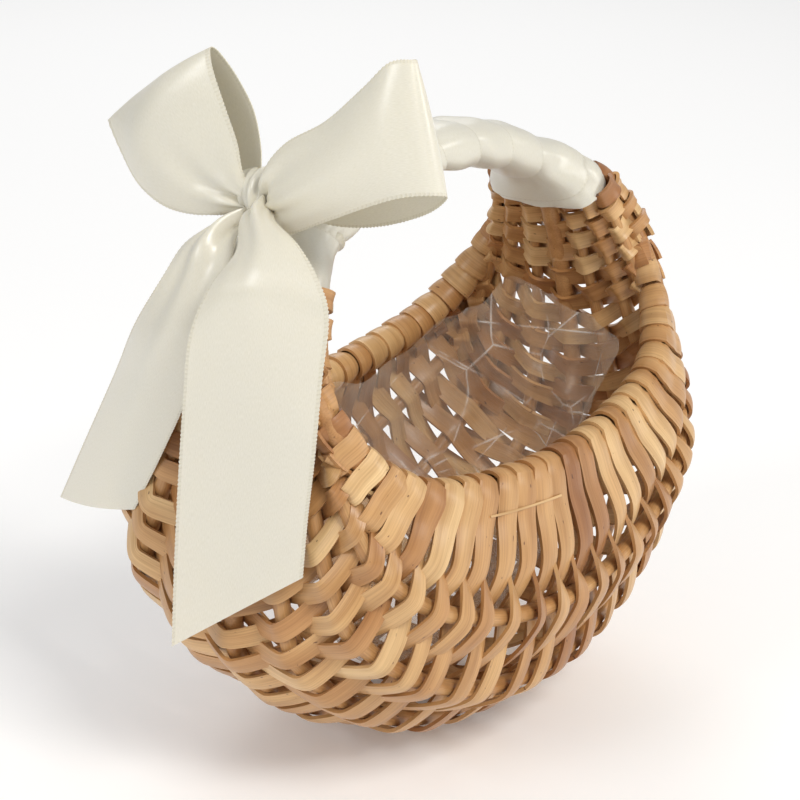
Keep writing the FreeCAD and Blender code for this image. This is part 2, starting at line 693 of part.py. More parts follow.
def tangent_height(radius, centre_x, root_x, root_y):
    """Where a line from (root_x, root_y) touches the far circle's upper side."""
    dx, dy = centre_x - root_x, -root_y
    reach = math.hypot(dx, dy)
    lean = math.atan2(dy, dx) + math.asin(radius / reach)
    return centre_x - radius * math.sin(lean), radius * math.cos(lean)


def draw_teardrop(sketch, reach, radius, root_x, root_y, texts):
    """A closed loop outline: a blunt root, two straight runs and a round end."""
    centre_x = reach - radius
    touch_x, touch_y = tangent_height(radius, centre_x, root_x, root_y)
    turn = math.atan2(touch_y, touch_x - centre_x)
    circle = Part.Circle(V(centre_x, 0, 0), Z_AXIS, radius)
    end = sketch.addGeometry(Part.ArcOfCircle(circle, -turn, turn), False)
    upper = sketch.addGeometry(Part.LineSegment(V(touch_x, touch_y, 0), V(root_x, root_y, 0)), False)
    root = sketch.addGeometry(Part.LineSegment(V(root_x, root_y, 0), V(root_x, -root_y, 0)), False)
    lower = sketch.addGeometry(Part.LineSegment(V(root_x, -root_y, 0), V(touch_x, -touch_y, 0)), False)
    constrain(sketch, "Tangent", end, 2, upper, 1)
    constrain(sketch, "Coincident", upper, 2, root, 1)
    constrain(sketch, "Coincident", root, 2, lower, 1)
    constrain(sketch, "Tangent", lower, 2, end, 1)
    constrain(sketch, "PointOnObject", end, 3, -1)
    constrain(sketch, "Symmetric", root, 1, root, 2, -1)
    constrain(sketch, "DistanceY", root, 2, root, 1, 2 * root_y, to="2 * " + texts[3])
    constrain(sketch, "DistanceX", -1, 1, root, 1, root_x, to=texts[0])
    constrain(sketch, "DistanceX", -1, 1, end, 3, centre_x, to=texts[1])
    constrain(sketch, "Radius", end, radius, to=texts[2])


def pocket_through(body, sketch, name):
    pocket = body.newObject("PartDesign::Pocket", name)
    pocket.Profile = sketch
    pocket.Type = 1
    pocket.Midplane = True
    doc.recompute()
    return pocket


def build_bow_loop(name, side):
    """One loop of the bow: ribbon out from the knot, round the end and back behind."""
    body = new_body("bow_loop_" + name)
    rise = math.radians(size["loop_rise_" + name])
    outward = V(0, side * math.cos(rise), math.sin(rise))
    turn = FreeCAD.Rotation(outward, V(-1, 0, 0), V(0, 0, 0), "XYZ")
    body.Placement = FreeCAD.Placement(knot_centre(), turn)
    reach = size["loop_reach_" + name]
    radius = size["loop_depth"] / 2
    thick = size["ribbon_thickness"]
    root = size["loop_root"]
    outline = new_sketch(body, "XY_Plane", "loop_outline")
    reach_text = "loop_reach_" + name
    draw_teardrop(
        outline, reach, radius, root, size["loop_root_half"],
        ("loop_root", reach_text + " - loop_depth / 2", "loop_depth / 2", "loop_root_half"),
    )
    draw_teardrop(
        outline, reach - thick, radius - thick, size["loop_eye"], size["loop_eye_half"],
        ("loop_eye", reach_text + " - loop_depth / 2", "loop_depth / 2 - ribbon_thickness",
         "loop_eye_half"),
    )
    band = body.newObject("PartDesign::Pad", "ribbon_width")
    band.Profile = outline
    band.Length = size["ribbon_width"]
    band.setExpression("Length", cell("ribbon_width"))
    band.Midplane = True
    doc.recompute()
    spread = new_sketch(body, "XZ_Plane", "gather_cut")
    gather_half = size["ribbon_gather"] / 2
    full_half = size["ribbon_width"] / 2
    for up in (1, -1):
        draw_closed(
            spread,
            [
                (root - 1, up * gather_half),
                (root + size["loop_spread"], up * (full_half + 1)),
                (root - 1, up * (full_half + 1)),
            ],
        )
    pocket_through(body, spread, "gather")
    return body


def tail_direction(name):
    """A tail's outward and downward unit vectors: its turn is taken about +Z from -X, and its tilt
    tips it sideways in its own plane."""
    turn, tilt = math.radians(size[f"tail_{name}_turn"]), math.radians(size[f"tail_{name}_tilt"])
    outward = V(-math.cos(turn), math.sin(turn), 0)
    across = V(math.sin(turn), math.cos(turn), 0)
    return outward, across * math.sin(tilt) - Z_AXIS * math.cos(tilt)


def build_bow_tail(name):
    """A tail of the bow: it bends out from its hinge at the knot and hangs to a slanted cut."""
    body = new_body("bow_tail_" + name)
    hinge = V(*(size[f"tail_{name}_{axis}"] for axis in "xyz"))
    outward, down = tail_direction(name)
    body.Placement = FreeCAD.Placement(hinge, FreeCAD.Rotation(outward, V(0, 0, 0), down * -1, "ZXY"))
    bend = size["tail_shoulder"]
    thick = size["ribbon_thickness"]
    length = size[f"tail_{name}_length"]
    slant = size[f"tail_{name}_slant"]
    outline = new_sketch(body, "XZ_Plane", "side_outline")
    outer = bend + thick / 2
    inner = bend - thick / 2
    centre = V(0, -bend, 0)
    big = outline.addGeometry(Part.ArcOfCircle(Part.Circle(centre, Z_AXIS, outer), 0, math.pi / 2), False)
    small = outline.addGeometry(Part.ArcOfCircle(Part.Circle(centre, Z_AXIS, inner), 0, math.pi / 2), False)
    front = outline.addGeometry(Part.LineSegment(V(outer, -bend, 0), V(outer, -length, 0)), False)
    foot = outline.addGeometry(Part.LineSegment(V(outer, -length, 0), V(inner, -length, 0)), False)
    rear = outline.addGeometry(Part.LineSegment(V(inner, -length, 0), V(inner, -bend, 0)), False)
    top = outline.addGeometry(Part.LineSegment(V(0, inner - bend, 0), V(0, outer - bend, 0)), False)
    constrain(outline, "Tangent", big, 1, front, 1)
    constrain(outline, "Coincident", front, 2, foot, 1)
    constrain(outline, "Coincident", foot, 2, rear, 1)
    constrain(outline, "Tangent", rear, 2, small, 1)
    constrain(outline, "Coincident", small, 2, top, 1)
    constrain(outline, "Coincident", top, 2, big, 2)
    constrain(outline, "Coincident", big, 3, small, 3)
    constrain(outline, "PointOnObject", big, 3, -2)
    constrain(outline, "PointOnObject", top, 1, -2)
    constrain(outline, "Vertical", front)
    constrain(outline, "Horizontal", foot)
    constrain(outline, "DistanceY", big, 3, -1, 1, bend, to="tail_shoulder")
    constrain(outline, "DistanceY", foot, 1, -1, 1, length, to=f"tail_{name}_length")
    constrain(outline, "Radius", big, outer, to="tail_shoulder + ribbon_thickness / 2")
    constrain(outline, "Radius", small, inner, to="tail_shoulder - ribbon_thickness / 2")
    band = body.newObject("PartDesign::Pad", "ribbon_width")
    band.Profile = outline
    band.Length = size["ribbon_width"]
    band.setExpression("Length", cell("ribbon_width"))
    band.Midplane = True
    doc.recompute()
    cuts = new_sketch(body, "YZ_Plane", "gather_and_slant")
    gather_half = size["ribbon_gather"] / 2
    full_half = size["ribbon_width"] / 2
    for way in (1, -1):
        draw_closed(
            cuts,
            [
                (way * gather_half, 2),
                (way * (full_half + 1), 2),
                (way * (full_half + 1), -size["tail_spread"]),
            ],
        )
    far = full_half + 1
    draw_closed(cuts, [(-far, -length), (far, -length + slant), (far, -length - 2), (-far, -length - 2)])
    pocket_through(body, cuts, "cut_ribbon")
    return body


# ---------------------------------------------------------------- film liner
def ellipsoid(name, inset_text):
    """The liner's rounded bag as a solid, drawn inset from its outer face."""
    solid = doc.addObject("Part::Ellipsoid", name)
    solid.setExpression("Radius1", cell("liner_widest_z - liner_floor_z - " + inset_text))
    solid.setExpression("Radius2", cell("liner_half_length - " + inset_text))
    solid.setExpression("Radius3", cell("liner_half_width - " + inset_text))
    solid.setExpression(".Placement.Base.z", cell("liner_widest_z"))
    return solid


def build_liner():
    """Clear film pushed down into the basket: a thin bag, open above, its edge dipping at the sides."""
    dip = doc.addObject("Part::Cylinder", "liner_edge_dip")
    dip.setExpression("Radius", cell("liner_dip_radius"))
    dip.setExpression("Height", cell("4 * liner_half_width"))
    dip.Placement = FreeCAD.Placement(V(0, 0, 0), FreeCAD.Rotation(X_AXIS, 90))
    dip.setExpression(".Placement.Base.y", cell("2 * liner_half_width"))
    dip.setExpression(".Placement.Base.z", cell("liner_dip_z + liner_dip_radius"))
    film = doc.addObject("Part::Cut", "liner_film")
    film.Base = ellipsoid("liner_outside", "0")
    film.Tool = ellipsoid("liner_inside", "film_thickness")
    liner = doc.addObject("Part::Cut", "film_liner")
    liner.Label = "film_liner"
    liner.Base = film
    liner.Tool = dip
    doc.recompute()
    return liner


# ---------------------------------------------------------------- the basket
parts = [build_hoop_rod(), build_handle_wrap()]
for name, side in SIDES:
    parts.append(build_handle_side_rod(name, side))
    parts.append(build_rim(name, side, wrapped=False))
    parts.append(build_rim(name, side, wrapped=True))
    for number in (1, 2, 3):
        parts.append(build_rib(name, side, number))
    for place, share_a, share_b in PANELS:
        parts.append(build_panel(name, side, place, share_a, share_b))
parts.append(build_handle_binding("near", -1))
parts.append(build_handle_binding("far", 1))
parts.append(build_bow_strap())
parts.append(build_bow_knot())
parts.append(build_bow_loop("left", 1))
parts.append(build_bow_loop("right", -1))
parts.append(build_bow_tail("front"))
parts.append(build_bow_tail("back"))
parts.append(build_liner())
doc.recompute()

for item in doc.Objects:
    if "Invalid" in item.State or "Error" in item.State:
        raise RuntimeError(f"{item.Label} did not compute")
os.makedirs("parts", exist_ok=True)
for item in parts:
    if item.Shape.isNull() or not item.Shape.isValid() or len(item.Shape.Solids) != 1:
        raise RuntimeError(f"{item.Label} is not one valid solid")
    item.Shape.exportStep(f"parts/{item.Label}.step")
print(len(parts), "parts written")
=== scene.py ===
import math

import bpy
import numpy as np
from mathutils import Matrix, Vector


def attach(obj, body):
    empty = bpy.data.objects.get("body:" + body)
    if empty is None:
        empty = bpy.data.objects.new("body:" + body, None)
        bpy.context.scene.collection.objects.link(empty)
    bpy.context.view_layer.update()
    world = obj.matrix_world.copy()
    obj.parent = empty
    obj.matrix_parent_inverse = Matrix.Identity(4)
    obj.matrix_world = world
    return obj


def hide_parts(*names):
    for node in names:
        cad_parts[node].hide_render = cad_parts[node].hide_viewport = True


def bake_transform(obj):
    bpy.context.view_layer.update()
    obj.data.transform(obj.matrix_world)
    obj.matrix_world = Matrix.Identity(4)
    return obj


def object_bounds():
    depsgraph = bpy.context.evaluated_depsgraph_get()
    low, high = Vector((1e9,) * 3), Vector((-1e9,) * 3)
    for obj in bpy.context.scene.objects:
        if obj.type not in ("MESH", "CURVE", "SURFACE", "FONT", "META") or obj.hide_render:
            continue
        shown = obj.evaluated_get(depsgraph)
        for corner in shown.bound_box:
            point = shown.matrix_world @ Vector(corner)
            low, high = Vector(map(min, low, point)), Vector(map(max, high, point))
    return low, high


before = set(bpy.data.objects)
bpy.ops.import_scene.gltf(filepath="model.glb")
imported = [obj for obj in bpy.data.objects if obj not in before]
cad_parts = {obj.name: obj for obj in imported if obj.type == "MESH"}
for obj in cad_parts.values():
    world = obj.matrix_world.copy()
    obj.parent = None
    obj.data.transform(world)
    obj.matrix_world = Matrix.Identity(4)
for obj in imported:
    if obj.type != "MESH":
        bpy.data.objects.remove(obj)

cad_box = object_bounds()
bpy.ops.object.select_all(action="DESELECT")

# ---------------------------------------------------------------- camera, floor and lights
# A 94 mm portrait lens looks down on the bow's end of the basket from the front left.
TURN, RISE, ROLL = math.radians(-52.6), math.radians(21.0), math.radians(-0.7)
DISTANCE = 0.5864
right = Vector((math.cos(TURN), math.sin(TURN), 0))
toward = Vector((math.sin(TURN) * math.cos(RISE), -math.cos(TURN) * math.cos(RISE), math.sin(RISE)))
over = toward.cross(right)
right, over = (
    right * math.cos(ROLL) + over * math.sin(ROLL),
    over * math.cos(ROLL) - right * math.sin(ROLL),
)
bpy.ops.object.camera_add()
camera = bpy.context.object
camera.name = "camera"
camera.data.lens = 94.1
camera.data.clip_start = 0.01
camera.location = Vector((0, 0, 0.08)) + toward * DISTANCE + right * -0.0058 + over * 0.0111
camera.rotation_euler = Matrix((right, over, toward)).transposed().to_euler()
bpy.context.scene.camera = camera

bpy.ops.mesh.primitive_plane_add(size=8, location=(0, 0, cad_box[0][2] - 0.0005))
floor = bpy.context.object
floor.name = "floor"
floor_paint = bpy.data.materials.new("pale_floor")
floor_paint.use_nodes = True
floor_shader = floor_paint.node_tree.nodes["Principled BSDF"]
floor_shader.inputs["Base Color"].default_value = (0.97, 0.97, 0.97, 1)
floor_shader.inputs["Roughness"].default_value = 0.75
floor_shader.inputs["Emission Color"].default_value = (1, 1, 1, 1)
floor_shader.inputs["Emission Strength"].default_value = 0.07
floor.data.materials.append(floor_paint)


def add_softbox(name, place, aim, width, power, tint):
    bpy.ops.object.light_add(type="AREA", location=place)
    lamp = bpy.context.object
    lamp.name = name
    lamp.data.size = width
    lamp.data.energy = power
    lamp.data.color = tint
    lamp.rotation_euler = (Vector(place) - Vector(aim)).to_track_quat("Z", "Y").to_euler()


add_softbox("key_softbox", (-0.35, -1.15, 1.25), (0, 0, 0.08), 0.5, 14.5, (1.0, 0.98, 0.94))
add_softbox("left_softbox", (-1.15, 0.30, 0.75), (-0.06, 0, 0.17), 0.45, 4.0, (0.98, 0.99, 1.0))
add_softbox("right_strip", (0.62, -1.0, 0.42), (-0.06, -0.04, 0.17), 0.24, 2.2, (1.0, 0.99, 0.97))
add_softbox("rear_softbox", (0.9, 0.9, 1.1), (0, 0, 0.1), 0.9, 6, (1.0, 1.0, 1.0))
world = bpy.data.worlds.new("studio")
bpy.context.scene.world = world
world.use_nodes = True
world.node_tree.nodes["Background"].inputs["Color"].default_value = (1, 1, 1, 1)
world.node_tree.nodes["Background"].inputs["Strength"].default_value = 0.44
bpy.context.scene.view_settings.view_transform = "Standard"


# ---------------------------------------------------------------- the basket's woven surface
# The weave lies on one curved surface between the keel, a bent hoop in the middle plane, and the
# two rims, each a bent rod in a leaning plane. Lengths are in metres, as in the frame.
def circles_meet(centre_a, radius_a, centre_b, radius_b, pick):
    """The higher (pick 1) or lower (pick -1) point where two circles cross."""
    gap = math.dist(centre_a, centre_b)
    along = (radius_a**2 - radius_b**2 + gap**2) / (2 * gap)
    off = math.sqrt(radius_a**2 - along**2)
    ux, uz = (centre_b[0] - centre_a[0]) / gap, (centre_b[1] - centre_a[1]) / gap
    points = [(centre_a[0] + along * ux - s * off * uz, centre_a[1] + along * uz + s * off * ux) for s in (1, -1)]
    return max(points, key=lambda p: pick * p[1])


def angle_of(centre, point):
    return math.atan2(point[1] - centre[1], point[0] - centre[0])


def run_along(arcs, share):
    """Points at the given shares of a chain of tangent arcs (centre, radius, first, last angle)."""
    left = np.asarray(share, float) * sum(radius * (last - first) for centre, radius, first, last in arcs)
    x, y = np.zeros_like(left), np.zeros_like(left)
    done = np.zeros(left.shape, bool)
    for number, (centre, radius, first, last) in enumerate(arcs):
        length = radius * (last - first)
        here = ~done & ((left <= length) | (number == len(arcs) - 1))
        angle = first + left / radius
        x[here] = (centre[0] + radius * np.cos(angle))[here]
        y[here] = (centre[1] + radius * np.sin(angle))[here]
        done |= here
        left = left - length
    return x, y


HALF_LENGTH = 0.0859
WIDEST = 0.0492
HANDLE_FOOT = 0.1446
RIM_FOOT_X, RIM_FOOT_Y = 0.0654, 0.0115
RIM_DEPTH, RIM_LONG, RIM_END = 0.0695, 0.175, 0.038
RIM_LEAN = math.radians(29.7)
BULGE = math.radians(128.5)
BOTTOM, CORNER, SIDE = 0.100, 0.015, 0.225
ARCH, ARCH_TOP, SHOULDER = 0.105, 0.1632, 0.020
ROD_INSET = 0.00525

bottom_centre = (0.0, BOTTOM - 0.0012)
side_centre = (HALF_LENGTH - SIDE, WIDEST)
arch_centre = (0.0, ARCH_TOP - ARCH)


def hoop_arcs(inset):
    """Bottom, corner, end, shoulder and arch of the hoop, drawn inset from the outer surface."""
    corner = circles_meet(bottom_centre, BOTTOM - CORNER, side_centre, SIDE - CORNER, -1)
    shoulder = circles_meet(side_centre, SIDE - inset - SHOULDER, arch_centre, ARCH - SHOULDER, 1)
    turns = [angle_of(bottom_centre, corner), angle_of(side_centre, corner)]
    turns += [angle_of(side_centre, shoulder), angle_of(arch_centre, shoulder)]
    return [
        (bottom_centre, BOTTOM - inset, -math.pi / 2, turns[0]),
        (corner, CORNER - inset, turns[0], turns[1]),
        (side_centre, SIDE - inset, turns[1], turns[2]),
        (shoulder, SHOULDER, turns[2], turns[3]),
        (arch_centre, ARCH, turns[3], math.pi / 2),
    ]


keel_arcs = hoop_arcs(0.0)[:3]
keel_arcs[2] = keel_arcs[2][:3] + (math.asin((HANDLE_FOOT - WIDEST) / SIDE),)
rim_middle = (0.0, RIM_LONG - RIM_DEPTH)
rim_end = circles_meet(rim_middle, RIM_LONG - RIM_END, (RIM_FOOT_X, 0.0), RIM_END, -1)
rim_turn = angle_of(rim_middle, rim_end)
rim_arcs = [
    (rim_middle, RIM_LONG, -math.pi / 2, rim_turn),
    (rim_end, RIM_END, rim_turn, angle_of(rim_end, (RIM_FOOT_X, 0.0))),
]


def rim_line(share):
    """The rim's centre line on the +Y side: share runs from -1 at the bow's end to 1."""
    x, fall = run_along(rim_arcs, np.abs(share))
    points = [np.copysign(x, share), RIM_FOOT_Y - fall * math.sin(RIM_LEAN), HANDLE_FOOT + fall * math.cos(RIM_LEAN)]
    return np.stack(points, -1)


def woven_surface(share, angle):
    """Outer surface of the weave: angle is 0 on the keel and reaches BULGE at a rim, + at the back."""
    part = np.abs(share)
    rim = rim_line(part)
    keel_x, keel_z = run_along(keel_arcs, part - 1.15 * part**3 * (1 - part))
    drop = (np.cos(angle) - math.cos(BULGE)) / (1 - math.cos(BULGE))
    x = rim[..., 0] + (keel_x - rim[..., 0]) * drop
    y = rim[..., 1] * np.sin(angle) / math.sin(BULGE)
    z = rim[..., 2] + (keel_z - rim[..., 2]) * drop
    return np.stack([np.copysign(x, share), y, z], -1)


def unit(vectors):
    return vectors / np.maximum(np.linalg.norm(vectors, axis=-1, keepdims=True), 1e-12)


def surface_frame(share, angle):
    """Point, outward normal, direction round the section and speed along the basket."""
    step = 1e-4
    along = (woven_surface(share + step, angle) - woven_surface(share - step, angle)) / (2 * step)
    around = woven_surface(share, angle + step) - woven_surface(share, angle - step)
    normal = unit(np.cross(around, along))
    return woven_surface(share, angle), normal, unit(around), np.linalg.norm(along, axis=-1)


# ---------------------------------------------------------------- shared willow finish
# Peeled willow: a tan wood with fine grain along each strip, small dark bud marks and a soft shine.
# Each strip has its own tone, from honey to pale straw.
def new_input(group, name, kind, value=None):
    socket = group.interface.new_socket(name=name, in_out="INPUT", socket_type=kind)
    if value is not None:
        socket.default_value = value


def grain_group():
    """Node group: colour, roughness and height of peeled willow from a grain vector and a tone."""
    group = bpy.data.node_groups.new("willow_grain", "ShaderNodeTree")
    new_input(group, "Vector", "NodeSocketVector")
    new_input(group, "Tone", "NodeSocketFloat", 0.5)
    for name, kind in (("Color", "NodeSocketColor"), ("Roughness", "NodeSocketFloat"), ("Height", "NodeSocketFloat")):
        group.interface.new_socket(name=name, in_out="OUTPUT", socket_type=kind)
    nodes, links = group.nodes, group.links
    entry = nodes.new("NodeGroupInput")
    leave = nodes.new("NodeGroupOutput")

    def noise(scale_along, scale_across, detail):
        stretch = nodes.new("ShaderNodeMapping")
        stretch.inputs["Scale"].default_value = (scale_along, scale_across, scale_across)
        links.new(entry.outputs["Vector"], stretch.inputs["Vector"])
        texture = nodes.new("ShaderNodeTexNoise")
        texture.inputs["Scale"].default_value = 1.0
        texture.inputs["Detail"].default_value = detail
        links.new(stretch.outputs["Vector"], texture.inputs["Vector"])
        return texture.outputs["Fac"]

    def ramp(source, stops):
        node = nodes.new("ShaderNodeValToRGB")
        band = node.color_ramp
        while len(band.elements) < len(stops):
            band.elements.new(0.5)
        for element, (place, colour) in zip(band.elements, stops):
            element.position = place
            element.color = (*colour, 1)
        links.new(source, node.inputs["Fac"])
        return node.outputs["Color"]

    def mix(kind, factor, first, second):
        node = nodes.new("ShaderNodeMix")
        node.data_type = "RGBA"
        node.blend_type = kind
        node.inputs[0].default_value = factor if isinstance(factor, float) else 1.0
        if not isinstance(factor, float):
            links.new(factor, node.inputs[0])
        links.new(first, node.inputs[6])
        links.new(second, node.inputs[7])
        return node.outputs[2]

    fine = noise(60, 2600, 3)
    broad = noise(22, 260, 2)
    blotch = noise(30, 60, 2)
    marks = noise(420, 900, 1)
    tone = ramp(entry.outputs["Tone"], (
        (0.0, (0.37, 0.160, 0.055)), (0.35, (0.54, 0.285, 0.110)), (0.7, (0.67, 0.405, 0.175)), (1.0, (0.80, 0.555, 0.280)),
    ))
    streaks = ramp(fine, ((0.3, (0.70, 0.64, 0.56)), (0.62, (1, 1, 1))))
    bands = ramp(broad, ((0.32, (0.66, 0.56, 0.46)), (0.60, (1, 1, 1))))
    stain = ramp(blotch, ((0.34, (0.80, 0.66, 0.52)), (0.62, (1.0, 1.0, 1.0))))
    buds = ramp(marks, ((0.225, (0.16, 0.07, 0.03)), (0.265, (1, 1, 1))))
    colour = mix("MULTIPLY", 0.65, tone, streaks)
    colour = mix("MULTIPLY", 0.7, colour, bands)
    colour = mix("MULTIPLY", 0.7, colour, stain)
    colour = mix("MULTIPLY", 0.8, colour, buds)
    links.new(colour, leave.inputs["Color"])
    rough = nodes.new("ShaderNodeMapRange")
    rough.inputs["To Min"].default_value = 0.27
    rough.inputs["To Max"].default_value = 0.48
    links.new(broad, rough.inputs["Value"])
    links.new(rough.outputs["Result"], leave.inputs["Roughness"])
    height = nodes.new("ShaderNodeMath")
    height.operation = "MULTIPLY_ADD"
    height.inputs[1].default_value = 0.5
    links.new(fine, height.inputs[0])
    links.new(broad, height.inputs[2])
    links.new(height.outputs["Value"], leave.inputs["Height"])
    return group


willow_grain = grain_group()


def willow_material(name, fixed_tone=None):
    """Willow for strips (grain on their UV map, tone on their own attribute) or for rods of one tone."""
    paint = bpy.data.materials.new(name)
    paint.use_nodes = True
    nodes, links = paint.node_tree.nodes, paint.node_tree.links
    shader = nodes["Principled BSDF"]
    grain = nodes.new("ShaderNodeGroup")
    grain.node_tree = willow_grain
    where = nodes.new("ShaderNodeTexCoord")
    if fixed_tone is None:
        links.new(where.outputs["UV"], grain.inputs["Vector"])
        tone = nodes.new("ShaderNodeAttribute")
        tone.attribute_name = "tone"
        links.new(tone.outputs["Fac"], grain.inputs["Tone"])
    else:
        links.new(where.outputs["Object"], grain.inputs["Vector"])
        grain.inputs["Tone"].default_value = fixed_tone
    links.new(grain.outputs["Color"], shader.inputs["Base Color"])
    links.new(grain.outputs["Roughness"], shader.inputs["Roughness"])
    bump = nodes.new("ShaderNodeBump")
    bump.inputs["Strength"].default_value = 0.35
    bump.inputs["Distance"].default_value = 0.0003
    links.new(grain.outputs["Height"], bump.inputs["Height"])
    links.new(bump.outputs["Normal"], shader.inputs["Normal"])
    shader.inputs["Specular IOR Level"].default_value = 0.55
    shader.inputs["Sheen Weight"].default_value = 0.05
    return paint


strip_willow = willow_material("willow_strips")
rod_willow = willow_material("willow_rods", 0.42)


# ---------------------------------------------------------------- weavers
# Flat split-willow strips. Each goes over one rim, down outside, under and over the rods, below the
# keel and up to the other rim. A second strip starts inside at each turn and takes the other side
# of every rod. Both wrap the rims so closely that the turns hide the rim's rod.
RIB_ANGLES = [math.radians(a) for a in (26, 55, 87)]
TURNS_UP = [math.radians(104), math.radians(119)]
STOPS = RIB_ANGLES + TURNS_UP + [BULGE]
STOPS = [-a for a in STOPS[::-1]] + [0.0] + STOPS
ROWS = 37
LAST_ROW = 0.970
STRIP_THICKNESS = 0.0010
LASH_RADIUS = 0.0043
ACROSS = 4
rng = np.random.default_rng(7)


def kinked(values, at, rounding):
    """Values run straight from stop to stop, with each corner rounded over a few samples."""
    straight = np.interp(at, STOPS, values)
    window = np.hanning(rounding + 2)[1:-1]
    padded = np.pad(straight, rounding // 2, mode="edge")
    return np.convolve(padded, window / window.sum(), mode="valid")


def lay_strip(name, line, face, width, roll, tone):
    """A flat strip along a line, facing its outward directions, as a grid shaped row by row."""
    count = len(line)
    bpy.ops.object.select_all(action="DESELECT")
    bpy.ops.mesh.primitive_grid_add(x_subdivisions=ACROSS, y_subdivisions=count - 1, size=1)
    strip = bpy.context.object
    strip.name = name
    heading = unit(np.gradient(line, axis=0))
    side = unit(np.cross(heading, face))
    face = np.cross(side, heading)
    tilt = roll[:, None]
    side, face = side * np.cos(tilt) + face * np.sin(tilt), face * np.cos(tilt) - side * np.sin(tilt)
    spot = np.linspace(-0.5, 0.5, ACROSS + 1)
    crown = 0.06 * (1 - 4 * spot**2)
    points = line[:, None] + width[:, None, None] * (
        spot[None, :, None] * side[:, None] + crown[None, :, None] * face[:, None]
    )
    strip.data.vertices.foreach_set("co", points.reshape(-1))
    length = np.concatenate([[0], np.cumsum(np.linalg.norm(np.diff(line, axis=0), axis=1))])
    corner = np.zeros(len(strip.data.loops), int)
    strip.data.loops.foreach_get("vertex_index", corner)
    start = rng.uniform(0, 50)
    uv = np.stack([start + length[corner // (ACROSS + 1)], start + (spot * width.mean())[corner % (ACROSS + 1)]], -1)
    strip.data.uv_layers[0].data.foreach_set("uv", uv.reshape(-1))
    shade = strip.data.attributes.new("tone", "FLOAT", "POINT")
    shade.data.foreach_set("value", np.full(count * (ACROSS + 1), tone))
    return strip


def join_strips(strips, name, thickness, material):
    """One piece of several strips, given their thickness."""
    bpy.ops.object.select_all(action="DESELECT")
    for strip in strips:
        strip.select_set(True)
    bpy.context.view_layer.objects.active = strips[0]
    bpy.ops.object.join()
    piece = bpy.context.object
    piece.name = name
    piece.data.name = name
    solid = piece.modifiers.new("thickness", "SOLIDIFY")
    solid.thickness = thickness
    solid.offset = 0
    bpy.ops.object.modifier_apply(modifier="thickness")
    piece.data.materials.clear()
    piece.data.materials.append(material)
    bpy.ops.object.shade_smooth_by_angle(angle=math.radians(40))
    return piece


def row_line(share, outside_first):
    """Centre line, facing, width and roll of one row from the front rim to the back rim."""
    ends = np.clip((abs(share) - 0.55) / 0.35, 0, 1)
    middle = np.clip(1.15 - abs(share) / 0.36, 0, 1)
    near = np.clip((-share - 0.2) / 0.25, 0, 1)
    flip = 1 if outside_first else -1
    # +1 is outside a rod and -1 inside it, from the keel out to the third rib.
    half = np.array([flip, -flip, flip, -flip], float)
    over_depth, under_depth = 0.0012 + 0.0004 * ends, 0.0084 - 0.0010 * ends
    depth = np.where(half > 0, over_depth, under_depth) + rng.normal(0, 0.0002, 4)
    sway = (0.0011 + 0.0010 * near - 0.0004 * ends) * half * -np.sign(share) * min(1, abs(share) * 5)
    sway = sway + rng.normal(0, 0.0006, 4)
    width = 0.0051 + 0.0003 * ends + rng.normal(0, 0.00035, 4)
    roll = rng.normal(0, 0.12, 4)
    if outside_first:
        width[3] = 0.0046
        depth = [*depth, 0.0018, 0.0002, -LASH_RADIUS]
        sway = [*sway, 0.0, 0.0, 0.0]
        width = [*width, 0.0058, 0.0066, 0.0070]
        roll = [*roll, 0.0, 0.0, 0.0]
    else:
        sway[3] += 0.0020 * middle
        twist = 1.15 * middle + 0.2
        depth = [*depth, 0.0040, 0.0056, 0.0036]
        sway = [*sway, -0.0022 * middle, -0.001 * middle, 0.0]
        width = [*width, 0.0036, 0.0034, 0.0040]
        roll = [*roll, twist, twist, 0.0]

    def both_sides(values):
        values = list(values)
        return values[:0:-1] + values

    angles = np.linspace(-BULGE, BULGE, 190)
    fan = 1.1 * abs(share) ** 1.5 * (1 - abs(share)) ** 1.2 * (1 - (np.abs(angles) / BULGE) ** 3.6)
    shares = share + math.copysign(1, share) * fan
    speed = surface_frame(shares, angles)[3]
    moved = shares + kinked(both_sides(sway), angles, 9) / speed
    place, normal, around, speed = surface_frame(moved, angles)
    line = place - normal * kinked(both_sides(depth), angles, 7)[:, None]
    waver = 1 + 0.05 * np.sin(angles * rng.uniform(5, 9) + rng.uniform(0, 6))
    width = kinked(both_sides(width), angles, 13) * waver * np.where(angles > 0, 1.14, 1.0)
    return line, normal, width, kinked(both_sides(roll), angles, 13)


def lash_line(share, side):
    """The turn of a strip over a rim, from outside, over the top and in, then tucked below."""
    at = surface_frame(np.array([share]), np.array([side * BULGE]))
    centre, normal, beyond = (vector[0] for vector in at[:3])
    along = unit(rim_line(share + 1e-4) - rim_line(share - 1e-4)) * np.array([1, side, 1])
    beyond = unit(beyond - along * (beyond @ along)) * side
    turn = np.radians(np.linspace(10, 250, 18))[:, None]
    radius = LASH_RADIUS + rng.uniform(-0.0001, 0.0002)
    slant = along * np.linspace(0.0, 0.0016, 18)[:, None] * rng.uniform(-0.3, 1.2)
    face = normal * np.cos(turn) + beyond * np.sin(turn)
    return centre + face * radius + slant, face


zones = {"near_end": [], "near_side": [], "middle": [], "far_side": [], "far_end": []}


def zone_of(share):
    for name, limit in (("near_end", -0.66), ("near_side", -0.30), ("middle", 0.30), ("far_side", 0.66)):
        if share < limit:
            return name
    return "far_end"


